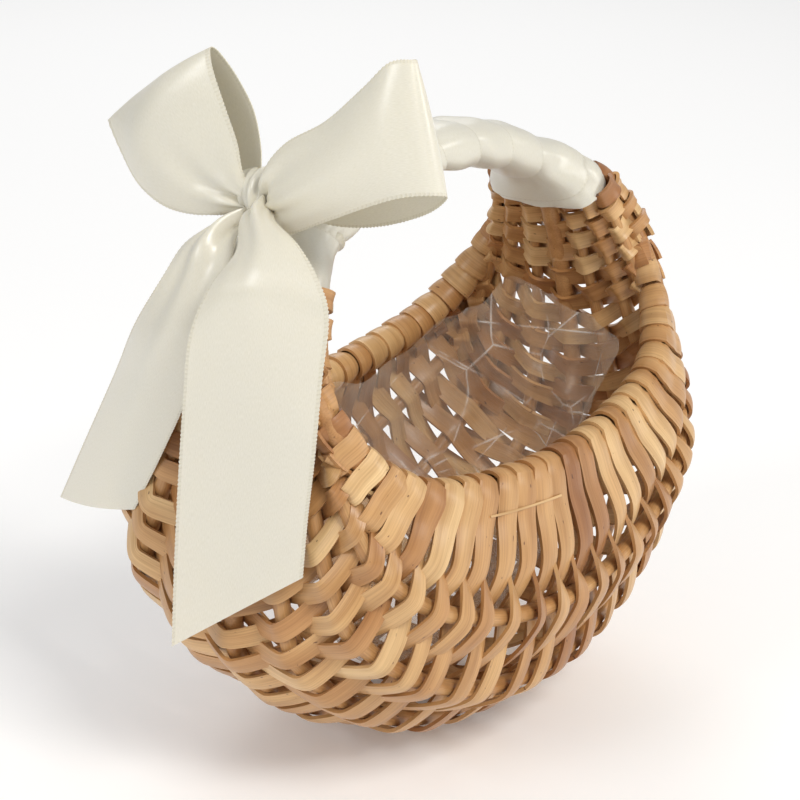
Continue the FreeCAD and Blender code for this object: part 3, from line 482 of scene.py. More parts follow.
row_gap = 2 * LAST_ROW / (ROWS - 1)
for row in range(ROWS):
    share = -LAST_ROW + row * row_gap + rng.normal(0, 0.05) * row_gap
    tone = float(np.clip(rng.normal(0.58, 0.27), 0, 1))
    line, face, width, roll = row_line(share, True)
    front, front_face = lash_line(share, -1)
    back, back_face = lash_line(share, 1)
    line = np.concatenate([front[::-1], line[2:-2], back])
    face = np.concatenate([front_face[::-1], face[2:-2], back_face])
    lash_width = 0.0068 + rng.normal(0, 0.0005)
    width = np.concatenate([np.full(18, lash_width), width[2:-2], np.full(18, lash_width)])
    shingle = np.full(18, rng.uniform(0.08, 0.22))
    roll = np.concatenate([shingle, roll[2:-2], shingle])
    zones[zone_of(share)].append(lay_strip(f"row_{row}_over", line, face, width, roll, tone))
    if row < ROWS - 1:
        tone = float(np.clip(rng.normal(0.5, 0.25), 0, 1))
        line, face, width, roll = row_line(share + row_gap / 2, False)
        zones[zone_of(share)].append(lay_strip(f"row_{row}_under", line, face, width, roll, tone))

# A fine loose fibre lies across the front strips just below the rim.
FIBRE_FROM, FIBRE_TO, FIBRE_UP, FIBRE_WIDTH = -0.29, -0.06, 119.8, 0.00045
fibre_share = np.linspace(FIBRE_FROM, FIBRE_TO, 60)
fibre_angle = np.radians(-FIBRE_UP + 0.8 * np.sin(fibre_share * 9))
place, normal, around, speed = surface_frame(fibre_share, fibre_angle)
fibre_line = place + normal * 0.0014
fibre_width = np.full(60, FIBRE_WIDTH)
zones["middle"].append(lay_strip("loose_fibre", fibre_line, normal, fibre_width, np.zeros(60), 1.0))

for zone, strips in zones.items():
    weavers = join_strips(strips, "weavers_" + zone, STRIP_THICKNESS, strip_willow)
    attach(weavers, "basket")
    wraps = ("rim_wrap_front", "rim_wrap_back") if zone == "middle" else ()
    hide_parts(f"weave_front_{zone}", f"weave_back_{zone}", *wraps)

# ---------------------------------------------------------------- frame rods
# Round peeled rods. The hoop, the rim rods and the handle's side rods are as designed. The ribs,
# three a side, taper at both ends to where they are tucked in beside the handle.
for node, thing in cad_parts.items():
    if node.startswith(("hoop_rod", "rim_rod", "handle_side_rod")):
        thing.data.materials.clear()
        thing.data.materials.append(rod_willow)

RIB_RADIUS, RIB_DEPTH, RIB_REACH = 0.0023, 0.00495, 0.955
ROD_SIDES, ROD_STEPS = 16, 150
for side, side_name in ((-1, "front"), (1, "back")):
    for number, rib_angle in enumerate(RIB_ANGLES, start=1):
        shares = np.linspace(-RIB_REACH, RIB_REACH, ROD_STEPS + 1)
        angles = np.full_like(shares, side * rib_angle)
        spot, normal, around, speed = surface_frame(shares, angles)
        line = spot - normal * RIB_DEPTH
        ahead = unit(np.gradient(line, axis=0))
        sideways = unit(np.cross(ahead, normal))
        thick = RIB_RADIUS * np.clip(1.05 - 3.0 * np.clip(np.abs(shares) - 0.80, 0, 1), 0.55, 1.0)
        thick = thick * (1 + 0.03 * np.sin(shares * 23 + number))
        turn = np.linspace(0, 2 * math.pi, ROD_SIDES + 1)[None, :, None]
        ring = normal[:, None] * np.cos(turn) + sideways[:, None] * np.sin(turn)
        bpy.ops.object.select_all(action="DESELECT")
        bpy.ops.mesh.primitive_grid_add(x_subdivisions=ROD_SIDES, y_subdivisions=ROD_STEPS, size=1)
        rib = bpy.context.object
        rib.name = f"rib_rod_{side_name}_{number}"
        rib.data.name = rib.name
        rib.data.vertices.foreach_set("co", (line[:, None] + ring * thick[:, None, None]).reshape(-1))
        length = np.concatenate([[0], np.cumsum(np.linalg.norm(np.diff(line, axis=0), axis=1))])
        corner = np.zeros(len(rib.data.loops), int)
        rib.data.loops.foreach_get("vertex_index", corner)
        around_it = np.linspace(0, 2 * math.pi * RIB_RADIUS, ROD_SIDES + 1)
        uv = np.stack([number + length[corner // (ROD_SIDES + 1)], around_it[corner % (ROD_SIDES + 1)]], -1)
        rib.data.uv_layers[0].data.foreach_set("uv", uv.reshape(-1))
        shade = rib.data.attributes.new("tone", "FLOAT", "POINT")
        shade.data.foreach_set("value", np.full((ROD_SIDES + 1) * (ROD_STEPS + 1), 0.42 + 0.06 * number))
        bpy.ops.object.mode_set(mode="EDIT")
        bpy.ops.mesh.select_all(action="SELECT")
        bpy.ops.mesh.remove_doubles(threshold=0.00001)
        bpy.ops.mesh.select_all(action="DESELECT")
        bpy.ops.mesh.select_non_manifold()
        bpy.ops.mesh.edge_face_add()
        bpy.ops.mesh.select_all(action="SELECT")
        bpy.ops.mesh.normals_make_consistent(inside=False)
        bpy.ops.object.mode_set(mode="OBJECT")
        rib.data.materials.clear()
        rib.data.materials.append(strip_willow)
        bpy.ops.object.shade_smooth_by_angle(angle=math.radians(50))
        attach(rib, "basket")
        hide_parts(f"rib_{side_name}_{number}")


# ---------------------------------------------------------------- shared satin ribbon
# Cream single-faced satin ribbon, 40 mm wide, with a fine looped stitch along each edge. Each edge also carries a thin
# band of painted shade.
RIBBON_WIDTH = 0.040
STITCH = 0.0011


def satin_group():
    """Node group: ribbon colour, roughness and height from metres along and across the ribbon."""
    group = bpy.data.node_groups.new("satin_weave", "ShaderNodeTree")
    new_input(group, "Vector", "NodeSocketVector")
    for name, kind in (("Color", "NodeSocketColor"), ("Roughness", "NodeSocketFloat"), ("Height", "NodeSocketFloat")):
        group.interface.new_socket(name=name, in_out="OUTPUT", socket_type=kind)
    nodes, links = group.nodes, group.links
    entry = nodes.new("NodeGroupInput")
    leave = nodes.new("NodeGroupOutput")
    split = nodes.new("ShaderNodeSeparateXYZ")
    links.new(entry.outputs["Vector"], split.inputs["Vector"])

    def math_node(operation, first, second=None):
        node = nodes.new("ShaderNodeMath")
        node.operation = operation
        for slot, source in enumerate((first, second)):
            if isinstance(source, float):
                node.inputs[slot].default_value = source
            elif source is not None:
                links.new(source, node.inputs[slot])
        return node.outputs["Value"]

    out = math_node("ABSOLUTE", split.outputs["Y"])
    edge = nodes.new("ShaderNodeMapRange")
    edge.interpolation_type = "SMOOTHSTEP"
    edge.inputs["From Min"].default_value = RIBBON_WIDTH / 2 - 0.0012
    edge.inputs["From Max"].default_value = RIBBON_WIDTH / 2 - 0.0009
    links.new(out, edge.inputs["Value"])
    stitch = math_node("SINE", math_node("MULTIPLY", split.outputs["X"], 2 * math.pi / STITCH))
    stitch = math_node("MULTIPLY", stitch, edge.outputs["Result"])
    stretch = nodes.new("ShaderNodeMapping")
    stretch.inputs["Scale"].default_value = (900, 5200, 1)
    links.new(entry.outputs["Vector"], stretch.inputs["Vector"])
    floats = nodes.new("ShaderNodeTexNoise")
    floats.inputs["Scale"].default_value = 1.0
    floats.inputs["Detail"].default_value = 2.0
    links.new(stretch.outputs["Vector"], floats.inputs["Vector"])
    ramp = nodes.new("ShaderNodeValToRGB")
    ramp.color_ramp.elements[0].position = 0.25
    ramp.color_ramp.elements[0].color = (0.71, 0.665, 0.53, 1)
    ramp.color_ramp.elements[1].position = 0.75
    ramp.color_ramp.elements[1].color = (0.80, 0.755, 0.63, 1)
    links.new(floats.outputs["Fac"], ramp.inputs["Fac"])
    shade = nodes.new("ShaderNodeMix")
    shade.data_type = "RGBA"
    shade.blend_type = "MULTIPLY"
    stitch_shade = math_node("MULTIPLY", math_node("MAXIMUM", stitch, 0.0), 0.18)
    # Every ribbon edge is darkened a little more: painted shade for the shadow line where one turn of the handle's
    # binding laps the next, laid on all the ribbon's edges.
    edge_painted_shade = math_node("MULTIPLY", edge.outputs["Result"], 0.14)
    links.new(math_node("ADD", stitch_shade, edge_painted_shade), shade.inputs[0])
    links.new(ramp.outputs["Color"], shade.inputs[6])
    shade.inputs[7].default_value = (0.55, 0.50, 0.40, 1)
    links.new(shade.outputs[2], leave.inputs["Color"])
    rough = math_node("MULTIPLY_ADD", edge.outputs["Result"], 0.22)
    rough.node.inputs[2].default_value = 0.33
    links.new(rough, leave.inputs["Roughness"])
    height = math_node("ADD", math_node("MULTIPLY", floats.outputs["Fac"], 0.18), math_node("MULTIPLY", stitch, 0.35))
    links.new(math_node("ADD", height, math_node("MULTIPLY", edge.outputs["Result"], 0.4)), leave.inputs["Height"])
    return group


satin = bpy.data.materials.new("satin_ribbon")
satin.use_nodes = True
satin_shader = satin.node_tree.nodes["Principled BSDF"]
satin_weave = satin.node_tree.nodes.new("ShaderNodeGroup")
satin_weave.node_tree = satin_group()
satin_where = satin.node_tree.nodes.new("ShaderNodeTexCoord")
satin_bump = satin.node_tree.nodes.new("ShaderNodeBump")
satin_bump.inputs["Strength"].default_value = 0.25
satin_bump.inputs["Distance"].default_value = 0.0002
satin.node_tree.links.new(satin_where.outputs["UV"], satin_weave.inputs["Vector"])
satin.node_tree.links.new(satin_weave.outputs["Color"], satin_shader.inputs["Base Color"])
satin.node_tree.links.new(satin_weave.outputs["Roughness"], satin_shader.inputs["Roughness"])
satin.node_tree.links.new(satin_weave.outputs["Height"], satin_bump.inputs["Height"])
satin.node_tree.links.new(satin_bump.outputs["Normal"], satin_shader.inputs["Normal"])
satin_tangent = satin.node_tree.nodes.new("ShaderNodeTangent")
satin_tangent.direction_type = "UV_MAP"
satin.node_tree.links.new(satin_tangent.outputs["Tangent"], satin_shader.inputs["Tangent"])
satin_shader.inputs["Specular IOR Level"].default_value = 0.85
satin_shader.inputs["Anisotropic"].default_value = 0.55
satin_shader.inputs["Anisotropic Rotation"].default_value = 0.25
satin_shader.inputs["Sheen Weight"].default_value = 0.25
satin_shader.inputs["Sheen Roughness"].default_value = 0.35
satin_shader.inputs["Subsurface Weight"].default_value = 0.25
satin_shader.inputs["Subsurface Radius"].default_value = (1.0, 0.85, 0.6)
satin_shader.inputs["Subsurface Scale"].default_value = 0.002


def spline(points, count):
    """Points along a Catmull-Rom curve through the given ones, evenly spread in its own parameter."""
    points = np.asarray(points, float)
    points = np.concatenate([2 * points[:1] - points[1:2], points, 2 * points[-1:] - points[-2:-1]])
    at = np.linspace(0, len(points) - 3, count)
    first = np.minimum(at.astype(int), len(points) - 4)
    t = (at - first).reshape((-1,) + (1,) * (points.ndim - 1))
    a, b, c, d = (points[first + k] for k in range(4))
    return 0.5 * (2 * b + (c - a) * t + (2 * a - 5 * b + 4 * c - d) * t**2 + (3 * b - a - 3 * c + d) * t**3)


def cloth_grid(name, points, width, thickness, uv_start=0.0):
    """A ribbon piece from a grid of points, rows along it and columns across, with edge stitches."""
    rows, columns = points.shape[:2]
    bpy.ops.object.select_all(action="DESELECT")
    bpy.ops.mesh.primitive_grid_add(x_subdivisions=columns - 1, y_subdivisions=rows - 1, size=1)
    cloth = bpy.context.object
    cloth.name = name
    cloth.data.name = name
    cloth.data.vertices.foreach_set("co", points.reshape(-1))
    middle = points[:, columns // 2]
    along = uv_start + np.concatenate([[0], np.cumsum(np.linalg.norm(np.diff(middle, axis=0), axis=1))])
    across = np.linspace(-width / 2, width / 2, columns)
    corner = np.zeros(len(cloth.data.loops), int)
    cloth.data.loops.foreach_get("vertex_index", corner)
    uv = np.stack([along[corner // columns], across[corner % columns]], -1)
    cloth.data.uv_layers[0].data.foreach_set("uv", uv.reshape(-1))
    solid = cloth.modifiers.new("thickness", "SOLIDIFY")
    solid.thickness = thickness
    solid.offset = 0
    bpy.ops.object.modifier_apply(modifier="thickness")
    cloth.data.materials.clear()
    cloth.data.materials.append(satin)
    bpy.ops.object.shade_smooth_by_angle(angle=math.radians(55))
    return cloth


def ribbon_between(stations, rows, columns, pleats=0.0, pleat_length=0.02, folds=3.0, phase=0.0):
    """Ribbon through stations of three points across it, pleated near its first one, with the small
    loops of its edge stitches."""
    ruled = spline(stations, rows)
    left, middle, right = ruled[:, 0], ruled[:, 1], ruled[:, 2]
    t = np.linspace(0, 1, columns)[None, :, None]
    points = (
        left[:, None] * (2 * (t - 0.5) * (t - 1)) + middle[:, None] * (4 * t * (1 - t)) + right[:, None] * (2 * t * (t - 0.5))
    )
    way = unit(np.gradient(points, axis=0))
    cross = unit(np.gradient(points, axis=1))
    normal = unit(np.cross(way, cross))
    along = np.concatenate([[0], np.cumsum(np.linalg.norm(np.diff(middle, axis=0), axis=1))])
    fade = np.exp(-along / pleat_length)[:, None]
    wave = np.cos(2 * math.pi * folds * t[..., 0] + phase) + 0.5 * np.cos(2 * math.pi * folds * 1.9 * t[..., 0] + 2 + phase)
    points = points + normal * (pleats * fade * wave)[..., None]
    loops = 0.00014 * np.sin(2 * math.pi * along / STITCH)[:, None]
    points[:, 0] -= cross[:, 0] * loops
    points[:, -1] += cross[:, -1] * loops
    return points


def millimetres(rows):
    return np.array(rows, float) / 1000


# ---------------------------------------------------------------- bound handle
# Satin ribbon wound in a tight spiral round the three rods of the handle, each turn over the next,
# drawn wide over the rims' ends and tucked in at both hems. It is made as a strip 26 mm wide.
hoop_line = hoop_arcs(ROD_INSET)[2:]
hoop_line[0] = hoop_line[0][:2] + (hoop_line[0][3] - 0.014, hoop_line[0][3])
HANDLE_SPAN = 2 * sum(radius * (last - first) for centre, radius, first, last in hoop_line)
SPIRAL_PITCH, SPIRAL_COVER = 0.0160, 0.0260
WRAP_HALF_WIDTH, WRAP_HALF_HEIGHT = 0.0086, 0.0050
FLARE_HALF_WIDTH, FLARE_HALF_HEIGHT, FLARE_LENGTH = 0.0168, 0.0086, 0.019
HEM = 0.0015


def handle_surface(place, round_it, lift):
    """Point on the bound handle: place from 0 at the bow's end to 1, round_it an angle."""
    share = 1 - np.abs(2 * place - 1)
    x, z = run_along(hoop_line, share)
    ahead_x, ahead_z = run_along(hoop_line, share + 1e-4)
    slope = np.stack([ahead_x - x, ahead_z - z], -1)
    slope = slope / np.linalg.norm(slope, axis=-1, keepdims=True)
    out_x, out_z = slope[..., 1], -slope[..., 0]
    near_end = np.clip(1 - (share * HANDLE_SPAN / 2 - HEM) / FLARE_LENGTH, 0, 1)
    flare = near_end**2 * (3 - 2 * near_end)
    half_width = WRAP_HALF_WIDTH + (FLARE_HALF_WIDTH - WRAP_HALF_WIDTH) * flare + lift
    half_height = WRAP_HALF_HEIGHT + (FLARE_HALF_HEIGHT - WRAP_HALF_HEIGHT) * flare + lift
    swell = (np.abs(np.cos(round_it)) ** 2.6 + np.abs(np.sin(round_it)) ** 2.6) ** (-1 / 2.6)
    off = half_height * swell * np.sin(round_it) + 0.002 * flare
    side = np.where(place > 0.5, 1.0, -1.0)
    return np.stack([side * (x + off * out_x), half_width * swell * np.cos(round_it), z + off * out_z], -1)


turns = (HANDLE_SPAN + SPIRAL_COVER) / SPIRAL_PITCH
steps = int(turns * 56)
spiral = np.linspace(0, turns * 2 * math.pi, steps)[:, None]
cover = np.linspace(0, 1, 15)[None, :]
place = (spiral / (2 * math.pi) * SPIRAL_PITCH - cover * SPIRAL_COVER) / HANDLE_SPAN
crease = 0.00060 * np.sin(spiral * 2.0 + 7 * cover) * np.sin(spiral * 0.7 + 2) ** 2
crease = crease + 0.00040 * np.sin(spiral * 5.3 - 11 * cover) * np.cos(spiral * 0.43) ** 2
puff = 0.0007 * np.sin(math.pi * np.clip(cover * 1.6, 0, 1)) + crease * np.sin(math.pi * cover)
lift = 0.0001 + 0.0012 * (1 - cover) ** 0.7 + puff
hem = HEM / HANDLE_SPAN
tucked = np.maximum(0, np.maximum(hem - place, place - 1 + hem)) * HANDLE_SPAN
lift = lift * np.exp(-tucked / 0.002) - np.minimum(0.35 * tucked, 0.0032)
points = handle_surface(np.clip(place, hem, 1 - hem), spiral + 0.9, lift)
binding = cloth_grid("handle_ribbon", points, RIBBON_WIDTH * 0.98, 0.00022)
bpy.ops.object.mode_set(mode="EDIT")
bpy.ops.mesh.select_all(action="SELECT")
bpy.ops.mesh.dissolve_degenerate(threshold=0.00002)
bpy.ops.object.mode_set(mode="OBJECT")
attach(binding, "basket")
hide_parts("handle_wrap", "handle_binding_near", "handle_binding_far")


# ---------------------------------------------------------------- bow
# One ribbon tied in a bow on the handle's face: a strap round the handle, a small drawn-up knot, a
# folded loop each side and two tails cut on the slant. Each part is its own piece here. The meshes
# hold less cloth than the ribbon drawn into the knot. Each area given is not the cut's own.
strap_out = unit(np.array([-0.53, 0.0, 0.85]))
strap_along = np.array([0.85, 0.0, 0.53]) / np.linalg.norm([0.85, 0.0, 0.53])
strap_base = np.array([-0.0535, 0.0, 0.1484])
turn = np.linspace(-0.5 * math.pi, 1.5 * math.pi, 97)
oval = 0.0101 * np.cos(turn)[:, None] * np.array([0, 1.0, 0])
rise = np.where(np.sin(turn) > 0, 0.0152 * np.sin(turn) ** 3 + 0.0016 * np.sin(turn), 0.0079 * np.sin(turn))
pinch = np.clip(np.sin(turn), 0, 1) ** 2
loop_line = strap_base + oval * (1 - 0.62 * pinch[:, None]) + rise[:, None] * strap_out
spot = np.linspace(-1, 1, 17)
half = 0.0085 - 0.0045 * pinch
points = loop_line[:, None] + half[:, None, None] * spot[None, :, None] * strap_along
outward = unit(loop_line - strap_base)
points = points + outward[:, None] * (0.0007 * np.cos(spot * 6.0) + 0.0003 * np.cos(spot * 11 + 1))[None, :, None]
strap = cloth_grid("bow_strap_ribbon", points, RIBBON_WIDTH, 0.00022)
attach(strap, "basket")
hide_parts("bow_strap")

knot_place = np.array([-0.0622, -0.0005, 0.1640])
turn = np.linspace(0, 2 * math.pi, 121)[:, None]
spot = np.linspace(-1, 1, 33)[None, :]
body = (1 - 0.55 * np.abs(spot) ** 2.6) * (1 + 0.10 * np.sin(turn + 0.6))
fold = 0.00055 * np.cos(spot * 8.2 + 0.7 * np.sin(turn)) + 0.0003 * np.cos(spot * 15 + 1.3 * np.cos(turn))
radius = 0.0060 * body + fold
points = np.stack([
    -radius * np.cos(turn) * 1.02,
    0.0062 * spot + 0.0011 * np.sin(turn) + 0 * turn,
    radius * np.sin(turn) * 1.08 + 0.0012 * spot,
], -1) + knot_place
knot = cloth_grid("bow_knot_ribbon", points, RIBBON_WIDTH, 0.00025)
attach(knot, "basket")
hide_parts("bow_knot")

right_stations = millimetres([
    [(-66, -3, 161.5), (-66.6, -4, 164), (-66, -3, 166.5)],
    [(-68, -7.5, 160.2), (-69.4, -7.4, 166), (-67.6, -4.4, 173)],
    [(-69, -13.5, 159.2), (-71.4, -14.6, 170), (-66.2, -10.4, 180.2)],
    [(-69, -25.5, 164.3), (-71.4, -27, 178), (-66, -22.5, 187)],
    [(-68, -38, 169.8), (-70.2, -37, 185), (-65.6, -33.5, 196.2)],
    [(-66.5, -46, 172.6), (-68.2, -43.6, 188.4), (-65, -40.5, 202.6)],
    [(-63, -51.6, 173), (-64.2, -49.2, 188.4), (-63.2, -45.3, 203.6)],
    [(-57.5, -51.2, 171), (-59, -49, 186.6), (-60.4, -45.0, 202.4)],
    [(-54.5, -43, 165.2), (-55, -41, 181.5), (-57.6, -39, 197)],
    [(-55, -30.5, 160.4), (-54.5, -28, 174), (-57, -28, 186.5)],
    [(-57.2, -18.5, 158.8), (-56.5, -16, 168), (-58, -16, 177)],
    [(-60.5, -7.5, 160.8), (-60, -7, 165), (-60.5, -7, 169)],
    [(-62.5, -2, 162), (-62.5, -2, 164), (-62.5, -2, 166)],
])
points = ribbon_between(right_stations, 310, 33, pleats=0.0011, pleat_length=0.010, folds=2.2)
loop_right = cloth_grid("bow_loop_right_ribbon", points, RIBBON_WIDTH, 0.00022)
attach(loop_right, "basket")
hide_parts("bow_loop_right")

left_stations = millimetres([
    [(-65.5, 2.5, 161.8), (-66.6, 3, 164), (-66, 1.5, 166.5)],
    [(-67.5, 8, 160.4), (-69, 8, 166), (-67, 3.2, 171.5)],
    [(-69, 17, 158.8), (-69.6, 15.5, 169), (-67.2, 4.4, 178.4)],
    [(-69.5, 27, 159.4), (-71.6, 22.5, 175.5), (-67.2, 7.8, 187)],
    [(-68, 37, 163), (-72.2, 29, 182), (-66.6, 11.4, 194.6)],
    [(-66.4, 44, 169.6), (-69.6, 32, 187), (-65.6, 13.2, 199)],
    [(-64.2, 50.4, 177.2), (-65.4, 32.6, 189.4), (-64.2, 13.8, 200)],
    [(-62.6, 44.8, 170.2), (-61.6, 31, 186.6), (-62.8, 12.4, 198.4)],
    [(-60, 35.6, 161.4), (-58.5, 26, 180.8), (-60.6, 9.2, 192.6)],
    [(-59.6, 27, 156.0), (-57.4, 19.5, 172.5), (-59.6, 5.2, 184.8)],
    [(-60.8, 15.5, 157.0), (-58.6, 11, 166.5), (-60.2, 2.8, 176.4)],
    [(-62.2, 7, 160.0), (-61.4, 4, 165), (-61.8, 1.6, 169.5)],
    [(-62.8, 1.5, 162.2), (-62.8, 1.5, 164), (-62.8, 1, 166)],
])
points = ribbon_between(left_stations, 300, 33, pleats=0.0012, pleat_length=0.012, folds=1.7, phase=1.2)
loop_left = cloth_grid("bow_loop_left_ribbon", points, RIBBON_WIDTH, 0.00022)
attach(loop_left, "basket")
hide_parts("bow_loop_left")

front_stations = millimetres([
    [(-66.5, -1, 163.2), (-67.5, -3.5, 165), (-66.5, -7, 164)],
    [(-73, -1.5, 161.6), (-75, -7, 165), (-73.5, -13, 163.5)],
    [(-81, -6.4, 156), (-83, -15, 160), (-77.5, -23, 160)],
    [(-88.5, -4.6, 149.4), (-89, -17, 151), (-80.5, -31, 154)],
    [(-92, -0.4, 137), (-89, -17, 139.6), (-82.3, -35.4, 146)],
    [(-92.6, 2.2, 120), (-88.6, -15, 124), (-83, -33.5, 130)],
    [(-93.2, 4.8, 98), (-88.8, -13, 104), (-83.7, -31.2, 110)],
    [(-93.9, 7, 75), (-89.5, -11, 84), (-84.3, -29, 94)],
    [(-94.4, 8.9, 52.3), (-89.6, -9, 65.2), (-84.7, -27.2, 78.1)],
])
points = ribbon_between(front_stations, 330, 33, pleats=0.0012, pleat_length=0.014, folds=1.6, phase=0.5)
tail_front = cloth_grid("bow_tail_front_ribbon", points, RIBBON_WIDTH, 0.00022)
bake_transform(tail_front)
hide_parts("bow_tail_front")

back_stations = millimetres([
    [(-65, 4, 162), (-66, 2, 161), (-65.5, 0, 160.4)],
    [(-71, 8.6, 159.6), (-73, 5, 159.4), (-72, 0.4, 157.4)],
    [(-77, 14.4, 154.4), (-79.4, 6, 155), (-77.6, -2, 153.4)],
    [(-82, 17.6, 146), (-82.6, 8, 146.6), (-83.4, -3.6, 148)],
    [(-80.5, 29.4, 131.2), (-86.2, 14.5, 131.5), (-85.4, -1.5, 138)],
    [(-76.4, 41.7, 114.0), (-84.0, 24.4, 116), (-85.4, 5.7, 121)],
    [(-72.1, 59.6, 88.6), (-79.6, 39.8, 93.0), (-82.5, 19.2, 100.2)],
    [(-68.3, 74.3, 67.8), (-75.4, 54.4, 72.5), (-79.1, 34.6, 78.2)],
])
points = ribbon_between(back_stations, 320, 33, pleats=0.0016, pleat_length=0.030, folds=1.35, phase=2.2)
tail_back = cloth_grid("bow_tail_back_ribbon", points, RIBBON_WIDTH, 0.00022)
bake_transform(tail_back)
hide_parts("bow_tail_back")


# ---------------------------------------------------------------- film liner
# A clear plastic film pushed down into the basket as a loose bag. It is crumpled into sharp facets, with painted
# highlights in thin crease-like lines, and its edge stands in uneven peaks, highest at the far end.
bpy.ops.object.select_all(action="DESELECT")
FILM_ROUND, FILM_UP = 260, 80
bpy.ops.mesh.primitive_grid_add(x_subdivisions=FILM_ROUND, y_subdivisions=FILM_UP - 1, size=1)
film = bpy.context.object
film.name = "film_bag"
film.data.name = "film_bag"
round_it = np.linspace(0, 2 * math.pi, FILM_ROUND + 1)
film_rng = np.random.default_rng(11)
edge = millimetres([
    (60, -4, 108), (58, 9, 110), (50, 17, 104), (42, 21, 100), (28, 29, 92), (10, 33, 88), (-8, 32, 90), (-24, 27, 94),
    (-38, 16, 100), (-48, 2, 97), (-49, -12, 92), (-40, -25, 84), (-22, -32, 79), (0, -35, 77), (20, -35.5, 82),
    (38, -35.5, 90), (53, -34, 99), (61, -22, 104), (60, -4, 108),
])
top = spline(edge, FILM_ROUND + 1)
ragged = 0.0012 * np.sin(round_it * 7) + 0.0007 * np.sin(round_it * 17 + 1)
top[:, 2] += ragged
up = np.linspace(0, 1, FILM_UP)[:, None]
FILM_FLOOR, FILM_WIDEST = 0.0115, 0.076
height = FILM_FLOOR + (top[None, :, 2] - FILM_FLOOR) * up**1.25
bag = np.sqrt(np.clip(1 - ((FILM_WIDEST - np.minimum(height, FILM_WIDEST)) / 0.0654) ** 2, 0.0004, 1))
round_top = np.unwrap(np.arctan2(top[:, 1] / 0.0345, top[:, 0] / 0.0545))
x = 0.0530 * bag * np.cos(round_top)[None]
y = 0.0335 * bag * np.sin(round_top)[None]
toward_edge = np.clip((height - 0.050) / (top[None, :, 2] - 0.050), 0, 1) ** 1.3
x = x + (top[None, :, 0] - x) * toward_edge
y = y + (top[None, :, 1] - y) * toward_edge
film_points = np.stack([x, y, height], -1)
out = unit(np.stack([x / 0.0545**2, y / 0.0345**2, 0 * x], -1))
crumple = np.zeros_like(x)
for size in (0.021, 0.027, 0.033, 0.017, 0.039, 0.023, 0.029, 0.014):
    way = unit(film_rng.normal(0, 1, 3))
    wave = film_points @ way / size + film_rng.uniform(0, 1)
    crumple += size * 0.11 * (np.abs(wave - np.floor(wave) - 0.5) - 0.25)
crumple = crumple * np.clip(up * 4, 0, 1) - 0.0016
film_points = film_points + out * crumple[..., None]
film_points[:, -1] = film_points[:, 0]
film_points = np.concatenate([film_points[:, :-1], film_points[:, :1]], axis=1)
film.data.vertices.foreach_set("co", film_points.reshape(-1))
bpy.ops.object.mode_set(mode="EDIT")
bpy.ops.mesh.select_all(action="SELECT")
bpy.ops.mesh.remove_doubles(threshold=0.00005)
bpy.ops.mesh.normals_make_consistent(inside=False)
bpy.ops.object.mode_set(mode="OBJECT")
solid = film.modifiers.new("thickness", "SOLIDIFY")
solid.thickness = 0.00006
solid.offset = 0
bpy.ops.object.modifier_apply(modifier="thickness")
bpy.ops.object.shade_smooth_by_angle(angle=math.radians(25))
clear_film = bpy.data.materials.new("clear_film")
clear_film.use_nodes = True
film_nodes, film_links = clear_film.node_tree.nodes, clear_film.node_tree.links
film_shader = film_nodes["Principled BSDF"]
film_where = film_nodes.new("ShaderNodeTexCoord")
haze_noise = film_nodes.new("ShaderNodeTexNoise")
haze_noise.inputs["Scale"].default_value = 90.0
haze_noise.inputs["Detail"].default_value = 3.0
film_links.new(film_where.outputs["Object"], haze_noise.inputs["Vector"])
haze = film_nodes.new("ShaderNodeMapRange")
haze.inputs["From Min"].default_value = 0.35
haze.inputs["From Max"].default_value = 0.75
haze.inputs["To Min"].default_value = 0.03
haze.inputs["To Max"].default_value = 0.11
film_links.new(haze_noise.outputs["Fac"], haze.inputs["Value"])
glance = film_nodes.new("ShaderNodeLayerWeight")
glance.inputs["Blend"].default_value = 0.35
cover_film = film_nodes.new("ShaderNodeMath")
cover_film.operation = "MULTIPLY_ADD"
cover_film.inputs[1].default_value = 0.22
film_links.new(glance.outputs["Facing"], cover_film.inputs[0])
film_links.new(haze.outputs["Result"], cover_film.inputs[2])
# Thin crease-like lines from Voronoi cell edges, made paler and more opaque: painted highlights, their strength patchy
# across the film.
crease_highlight_lines = []
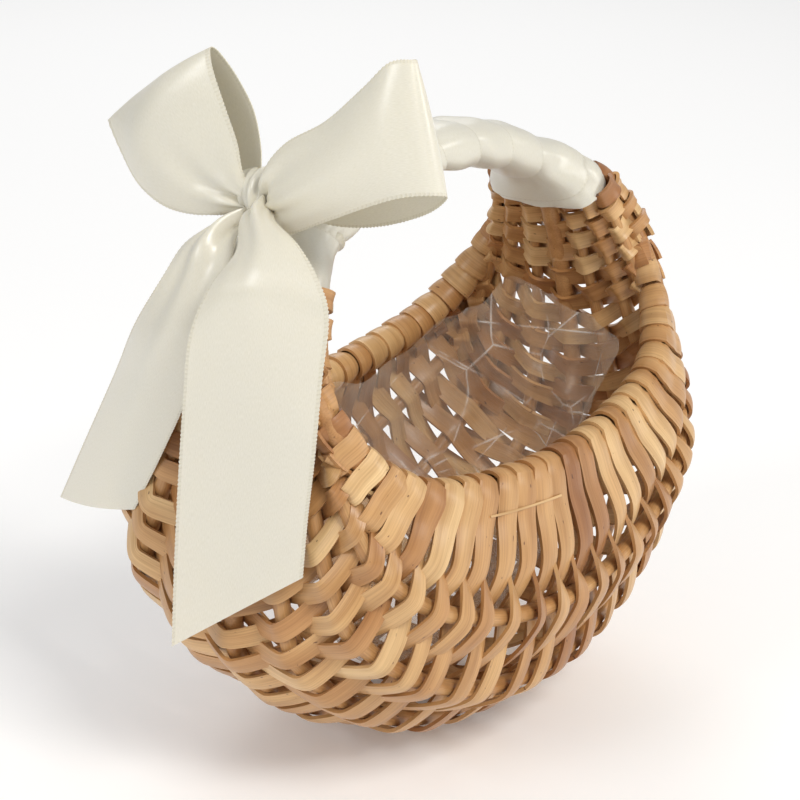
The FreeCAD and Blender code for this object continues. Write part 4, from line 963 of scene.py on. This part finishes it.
for crease_scale, crease_width, crease_stretch in ((24.0, 0.014, (1.0, 0.4, 1.5)), (40.0, 0.018, (0.45, 1.3, 0.9))):
    stretched = film_nodes.new("ShaderNodeMapping")
    stretched.inputs["Rotation"].default_value = (0.6, 0.9, crease_scale)
    stretched.inputs["Scale"].default_value = crease_stretch
    film_links.new(film_where.outputs["Object"], stretched.inputs["Vector"])
    cells = film_nodes.new("ShaderNodeTexVoronoi")
    cells.feature = "DISTANCE_TO_EDGE"
    cells.inputs["Scale"].default_value = crease_scale
    film_links.new(stretched.outputs["Vector"], cells.inputs["Vector"])
    line = film_nodes.new("ShaderNodeMapRange")
    line.inputs["From Min"].default_value = 0.0
    line.inputs["From Max"].default_value = crease_width
    line.inputs["To Min"].default_value = 1.0
    line.inputs["To Max"].default_value = 0.0
    film_links.new(cells.outputs["Distance"], line.inputs["Value"])
    crease_highlight_lines.append(line.outputs["Result"])
painted_crease_highlights = film_nodes.new("ShaderNodeMath")
painted_crease_highlights.operation = "MAXIMUM"
film_links.new(crease_highlight_lines[0], painted_crease_highlights.inputs[0])
film_links.new(crease_highlight_lines[1], painted_crease_highlights.inputs[1])
patchy = film_nodes.new("ShaderNodeMapRange")
patchy.inputs["From Min"].default_value = 0.45
patchy.inputs["From Max"].default_value = 0.68
patchy.inputs["To Max"].default_value = 0.42
film_links.new(haze_noise.outputs["Fac"], patchy.inputs["Value"])
highlight_and_haze_alpha = film_nodes.new("ShaderNodeMath")
highlight_and_haze_alpha.operation = "MULTIPLY_ADD"
film_links.new(painted_crease_highlights.outputs["Value"], highlight_and_haze_alpha.inputs[0])
film_links.new(patchy.outputs["Result"], highlight_and_haze_alpha.inputs[1])
film_links.new(cover_film.outputs["Value"], highlight_and_haze_alpha.inputs[2])
film_links.new(highlight_and_haze_alpha.outputs["Value"], film_shader.inputs["Alpha"])
# The base colour goes near white on the lines: painted highlight.
film_colour_with_highlights = film_nodes.new("ShaderNodeMix")
film_colour_with_highlights.data_type = "RGBA"
film_links.new(painted_crease_highlights.outputs["Value"], film_colour_with_highlights.inputs[0])
film_colour_with_highlights.inputs[6].default_value = (0.88, 0.78, 0.66, 1)
film_colour_with_highlights.inputs[7].default_value = (1.0, 0.97, 0.93, 1)
film_links.new(film_colour_with_highlights.outputs[2], film_shader.inputs["Base Color"])
film_shader.inputs["Roughness"].default_value = 0.16
film_shader.inputs["Specular IOR Level"].default_value = 1.0
film_bump_noise = film_nodes.new("ShaderNodeTexVoronoi")
film_bump_noise.feature = "F1"
film_bump_noise.inputs["Scale"].default_value = 70.0
film_links.new(film_where.outputs["Object"], film_bump_noise.inputs["Vector"])
film_bump = film_nodes.new("ShaderNodeBump")
film_bump.inputs["Strength"].default_value = 0.6
film_bump.inputs["Distance"].default_value = 0.0016
film_links.new(film_bump_noise.outputs["Distance"], film_bump.inputs["Height"])
film_links.new(film_bump.outputs["Normal"], film_shader.inputs["Normal"])
film.data.materials.clear()
film.data.materials.append(clear_film)
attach(film, "liner")
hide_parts("film_liner")
